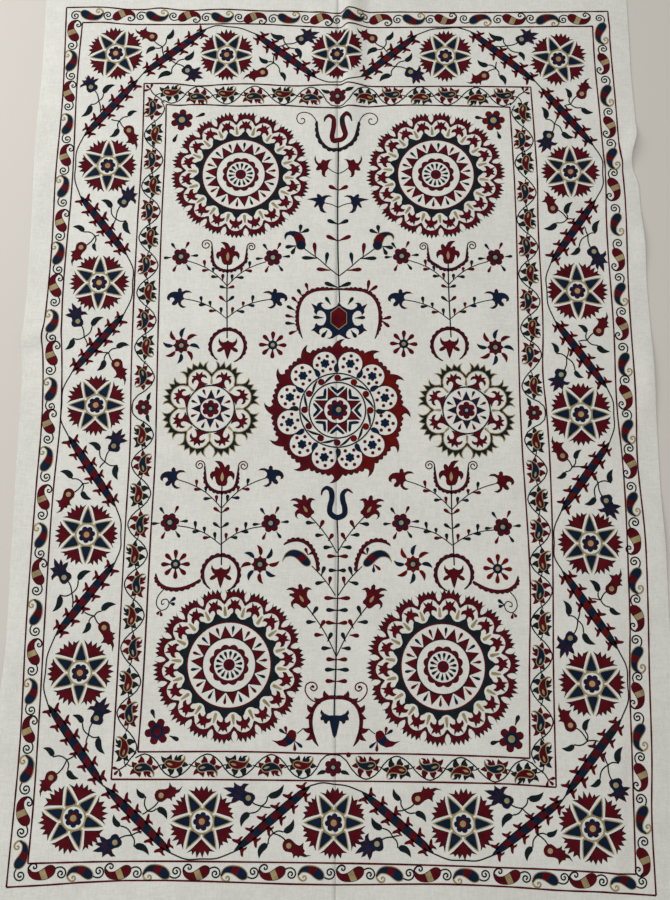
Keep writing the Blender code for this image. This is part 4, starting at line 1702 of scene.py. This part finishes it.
def thread_material(name, colour):
    """Stitched thread: rows of stitches as a fine relief and as darker bands in the colour (painted shade between the
    stitch rows), and uneven dye.
    """
    material, tree, shader = new_material(name)
    link = tree.links.new
    base = to_linear(colour)
    place = node(tree, "ShaderNodeTexCoord")
    patches = node(tree, "ShaderNodeTexNoise", Scale=38.0, Detail=4.0, Roughness=0.6)
    link(place.outputs["Object"], patches.inputs["Vector"])
    ramp = node(tree, "ShaderNodeValToRGB")
    ramp.color_ramp.elements[0].position = 0.32
    ramp.color_ramp.elements[0].color = shade(base, 0.72)
    ramp.color_ramp.elements[1].position = 0.68
    ramp.color_ramp.elements[1].color = shade(base, 1.3)
    link(patches.outputs["Fac"], ramp.inputs["Fac"])
    # Rows of stitches: the same bands give the relief and darken the colour, painted shade between the rows
    stitches = node(tree, "ShaderNodeTexWave", Scale=420.0, Distortion=3.0, Detail=1.0)
    stitches.bands_direction = "DIAGONAL"
    link(place.outputs["Object"], stitches.inputs["Vector"])
    # The stitch bands multiplied into the thread's colour: painted shade between the stitch rows
    stitch_shade = node(tree, "ShaderNodeMix", data_type="RGBA", blend_type="MULTIPLY")
    stitch_shade.inputs["Factor"].default_value = 0.28
    link(ramp.outputs["Color"], stitch_shade.inputs["A"])
    link(stitches.outputs["Color"], stitch_shade.inputs["B"])
    link(stitch_shade.outputs["Result"], shader.inputs["Base Color"])
    relief = node(tree, "ShaderNodeBump", Strength=0.35, Distance=0.0003)
    link(stitches.outputs["Fac"], relief.inputs["Height"])
    link(relief.outputs["Normal"], shader.inputs["Normal"])
    shader.inputs["Roughness"].default_value = 0.72
    shader.inputs["Sheen Weight"].default_value = 0.015
    shader.inputs["Sheen Roughness"].default_value = 0.4
    shader.inputs["Specular IOR Level"].default_value = 0.05
    return material


COTTON = (206, 205, 197)


def cotton_material(name):
    """Hand-loomed cotton: plain weave with slubs, and faint uneven colour."""
    material, tree, shader = new_material(name)
    link = tree.links.new
    base = to_linear(COTTON)
    place = node(tree, "ShaderNodeTexCoord")
    heights = []
    slubs = []
    for across, direction in (((1.0, 0.16, 1.0), "X"), ((0.16, 1.0, 1.0), "Y")):
        stretch = node(tree, "ShaderNodeMapping")
        stretch.inputs["Scale"].default_value = across
        link(place.outputs["Object"], stretch.inputs["Vector"])
        slub = node(tree, "ShaderNodeTexNoise", Scale=360.0, Detail=4.0, Roughness=0.7)
        link(stretch.outputs["Vector"], slub.inputs["Vector"])
        slubs.append(slub)
        threads = node(tree, "ShaderNodeTexWave", Scale=420.0, Distortion=2.4, Detail=2.0)
        threads.bands_direction = direction
        link(place.outputs["Object"], threads.inputs["Vector"])
        heights.append(threads)
    both = node(tree, "ShaderNodeMath", operation="MULTIPLY")
    link(heights[0].outputs["Fac"], both.inputs[0])
    link(heights[1].outputs["Fac"], both.inputs[1])
    cloud = node(tree, "ShaderNodeTexNoise", Scale=7.0, Detail=6.0, Roughness=0.72)
    link(place.outputs["Object"], cloud.inputs["Vector"])
    total = node(tree, "ShaderNodeMath", operation="ADD")
    link(slubs[0].outputs["Fac"], total.inputs[0])
    link(slubs[1].outputs["Fac"], total.inputs[1])
    mixed = node(tree, "ShaderNodeMath", operation="MULTIPLY_ADD")
    link(cloud.outputs["Fac"], mixed.inputs[0])
    mixed.inputs[1].default_value = 0.9
    link(total.outputs["Value"], mixed.inputs[2])
    ramp = node(tree, "ShaderNodeValToRGB")
    ramp.color_ramp.elements[0].position = 0.68
    ramp.color_ramp.elements[0].color = shade(base, 0.9)
    ramp.color_ramp.elements[1].position = 0.92
    ramp.color_ramp.elements[1].color = shade(base, 1.06)
    half = node(tree, "ShaderNodeMath", operation="MULTIPLY")
    half.inputs[1].default_value = 0.55
    link(mixed.outputs["Value"], half.inputs[0])
    link(half.outputs["Value"], ramp.inputs["Fac"])
    link(ramp.outputs["Color"], shader.inputs["Base Color"])
    relief = node(tree, "ShaderNodeBump", Strength=0.2, Distance=0.0003)
    link(both.outputs["Value"], relief.inputs["Height"])
    coarse = node(tree, "ShaderNodeBump", Strength=0.3, Distance=0.0005)
    link(total.outputs["Value"], coarse.inputs["Height"])
    link(relief.outputs["Normal"], coarse.inputs["Normal"])
    link(coarse.outputs["Normal"], shader.inputs["Normal"])
    shader.inputs["Roughness"].default_value = 0.92
    shader.inputs["Sheen Weight"].default_value = 0.15
    shader.inputs["Sheen Roughness"].default_value = 0.6
    shader.inputs["Specular IOR Level"].default_value = 0.2
    return material


# Cloth pieces


def panel_mesh(name, side, edge, fine_from):
    """One panel: upper face, underside and edges, on a grid that follows the folds."""
    near = np.arange(0.0, 0.1, NEAR_STEP if side > 0 else 4 * NEAR_STEP)
    columns = np.concatenate([near, np.arange(0.1, 0.64, 0.009), np.linspace(0.64, 1.0, fine_from)])
    rows = np.linspace(-HALF_LENGTH, HALF_LENGTH, 241)
    y, column = np.meshgrid(rows, columns, indexing="ij")
    seam = seam_x(y)
    reach = read_table(edge, y) - side * seam - SEAM_GAP / 2.0
    stretch = np.where(column <= 0.64, column, 0.64 + (reach - 0.64) * (column - 0.64) / 0.36)
    x = seam + side * (SEAM_GAP / 2.0 + stretch)
    across = stretch / reach
    y = y - END_BOW * np.sin(np.pi * across) * np.sign(y) * smooth_step(abs(y) / HALF_LENGTH)
    low = underside(x, y)
    count_rows, count_columns = x.shape
    top = np.stack([x, y, low + CLOTH_THICKNESS], -1).reshape(-1, 3)
    bottom = np.stack([x, y, low], -1).reshape(-1, 3)
    verts = np.concatenate([top, bottom])
    offset = len(top)
    index = np.arange(offset).reshape(count_rows, count_columns)
    a, b = index[:-1, :-1].ravel(), index[:-1, 1:].ravel()
    c, d = index[1:, 1:].ravel(), index[1:, :-1].ravel()
    up = np.stack([a, b, c, d], -1)
    down = np.stack([d, c, b, a], -1) + offset
    rim = np.concatenate([index[0, :], index[1:, -1], index[-1, -2::-1], index[-2:0:-1, 0]])
    after = np.roll(rim, -1)
    walls = np.stack([rim, rim + offset, after + offset, after], -1)
    faces = np.concatenate([up, down, walls])
    if side < 0:
        faces = faces[:, ::-1]
    mesh = bpy.data.meshes.new(name)
    mesh.from_pydata(verts.tolist(), [], faces.tolist())
    mesh.shade_smooth()
    mesh.update()
    return mesh


def build_pieces():
    """Cloth and thread pieces, riding on the body."""
    thread_looks = {name: thread_material("Thread_" + name, colour) for name, colour in COLOURS.items()}
    plans = (("left", -1, LEFT_EDGE, 44), ("right", 1, RIGHT_EDGE, 60))
    for name, side, edge, fine in plans:
        cloth = add_object(
            "cloth_" + name, panel_mesh("cloth_" + name, side, edge, fine), cotton_material("Cotton_" + name)
        )
        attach(cloth, "root")
        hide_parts("panel_" + name)
        for colour in COLOURS:
            fills = [f for f in work.fills[colour] if on_side(f[0], side)]
            ribbons = [r for r in work.ribbons[colour] if on_side(r[0], side)]
            if not fills and not ribbons:
                continue
            piece_name = f"embroidery_{colour}_{name}"
            piece = add_object(piece_name, thread_mesh(piece_name, fills, ribbons), thread_looks[colour])
            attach(piece, "root")
            print(piece_name, len(piece.data.polygons), sum(len(p.vertices) - 2 for p in piece.data.polygons))
        reach = np.mean([row[1] for row in edge])


def on_side(points, side):
    middle = complex(np.mean(points)) * MM + DRAWING_SHIFT_X
    return (middle.real - seam_x(middle.imag)) * side >= 0


# Floor, light and camera


def build_floor():
    material, tree, shader = new_material("Floor_pale")
    shader.inputs["Base Color"].default_value = to_linear((196, 190, 182))
    shader.inputs["Roughness"].default_value = 0.8
    mesh = bpy.data.meshes.new("floor")
    half = 6.0
    mesh.from_pydata([(-half, -half, 0), (half, -half, 0), (half, half, 0), (-half, half, 0)], [], [(0, 1, 2, 3)])
    floor = add_object("floor", mesh, material)
    floor.location.z = -0.0004
    return floor


def add_light(name, location, target, size, power, colour=(1, 1, 1)):
    lamp = bpy.data.lights.new(name, "AREA")
    lamp.shape = "RECTANGLE"
    lamp.size, lamp.size_y = size
    lamp.energy = power
    lamp.color = colour
    obj = bpy.data.objects.new(name, lamp)
    obj.location = location
    obj.rotation_euler = (Vector(target) - Vector(location)).to_track_quat("-Z", "Y").to_euler()
    bpy.context.scene.collection.objects.link(obj)
    return obj


def build_light():
    world = bpy.data.worlds.new("Soft_room")
    world.use_nodes = True
    back = world.node_tree.nodes["Background"]
    back.inputs["Color"].default_value = (1.0, 1.0, 1.0, 1.0)
    back.inputs["Strength"].default_value = 0.53
    bpy.context.scene.world = world
    add_light("Window", (-2.3, 1.5, 1.7), (-0.1, 0.1, 0), (1.8, 1.8), 44, (0.97, 0.99, 1.0))
    add_light("Fill", (-0.8, -1.7, 2.6), (-0.2, -0.6, 0), (2.2, 2.2), 21, (1.0, 0.98, 0.95))
    add_light("Overhead", (-0.2, 1.4, 2.6), (0.0, 0.6, 0), (1.4, 1.4), 15, (1.0, 1.0, 0.99))
    bpy.context.scene.view_settings.view_transform = "Standard"
    bpy.context.scene.view_settings.look = "None"


def build_camera():
    lens = bpy.data.cameras.new("Camera")
    lens.lens = 26.0
    lens.sensor_width = 36.0
    lens.sensor_fit = "AUTO"
    camera = bpy.data.objects.new("Camera", lens)
    turn = (
        Matrix.Rotation(math.radians(0.28), 4, "Z")
        @ Matrix.Rotation(math.radians(7.27), 4, "X")
        @ Matrix.Rotation(math.radians(0.12), 4, "Z")
    )
    camera.matrix_world = Matrix.Translation((-0.004, -0.289, 1.539)) @ turn
    bpy.context.scene.collection.objects.link(camera)
    bpy.context.scene.camera = camera


build_floor()
build_pieces()
build_light()
build_camera()
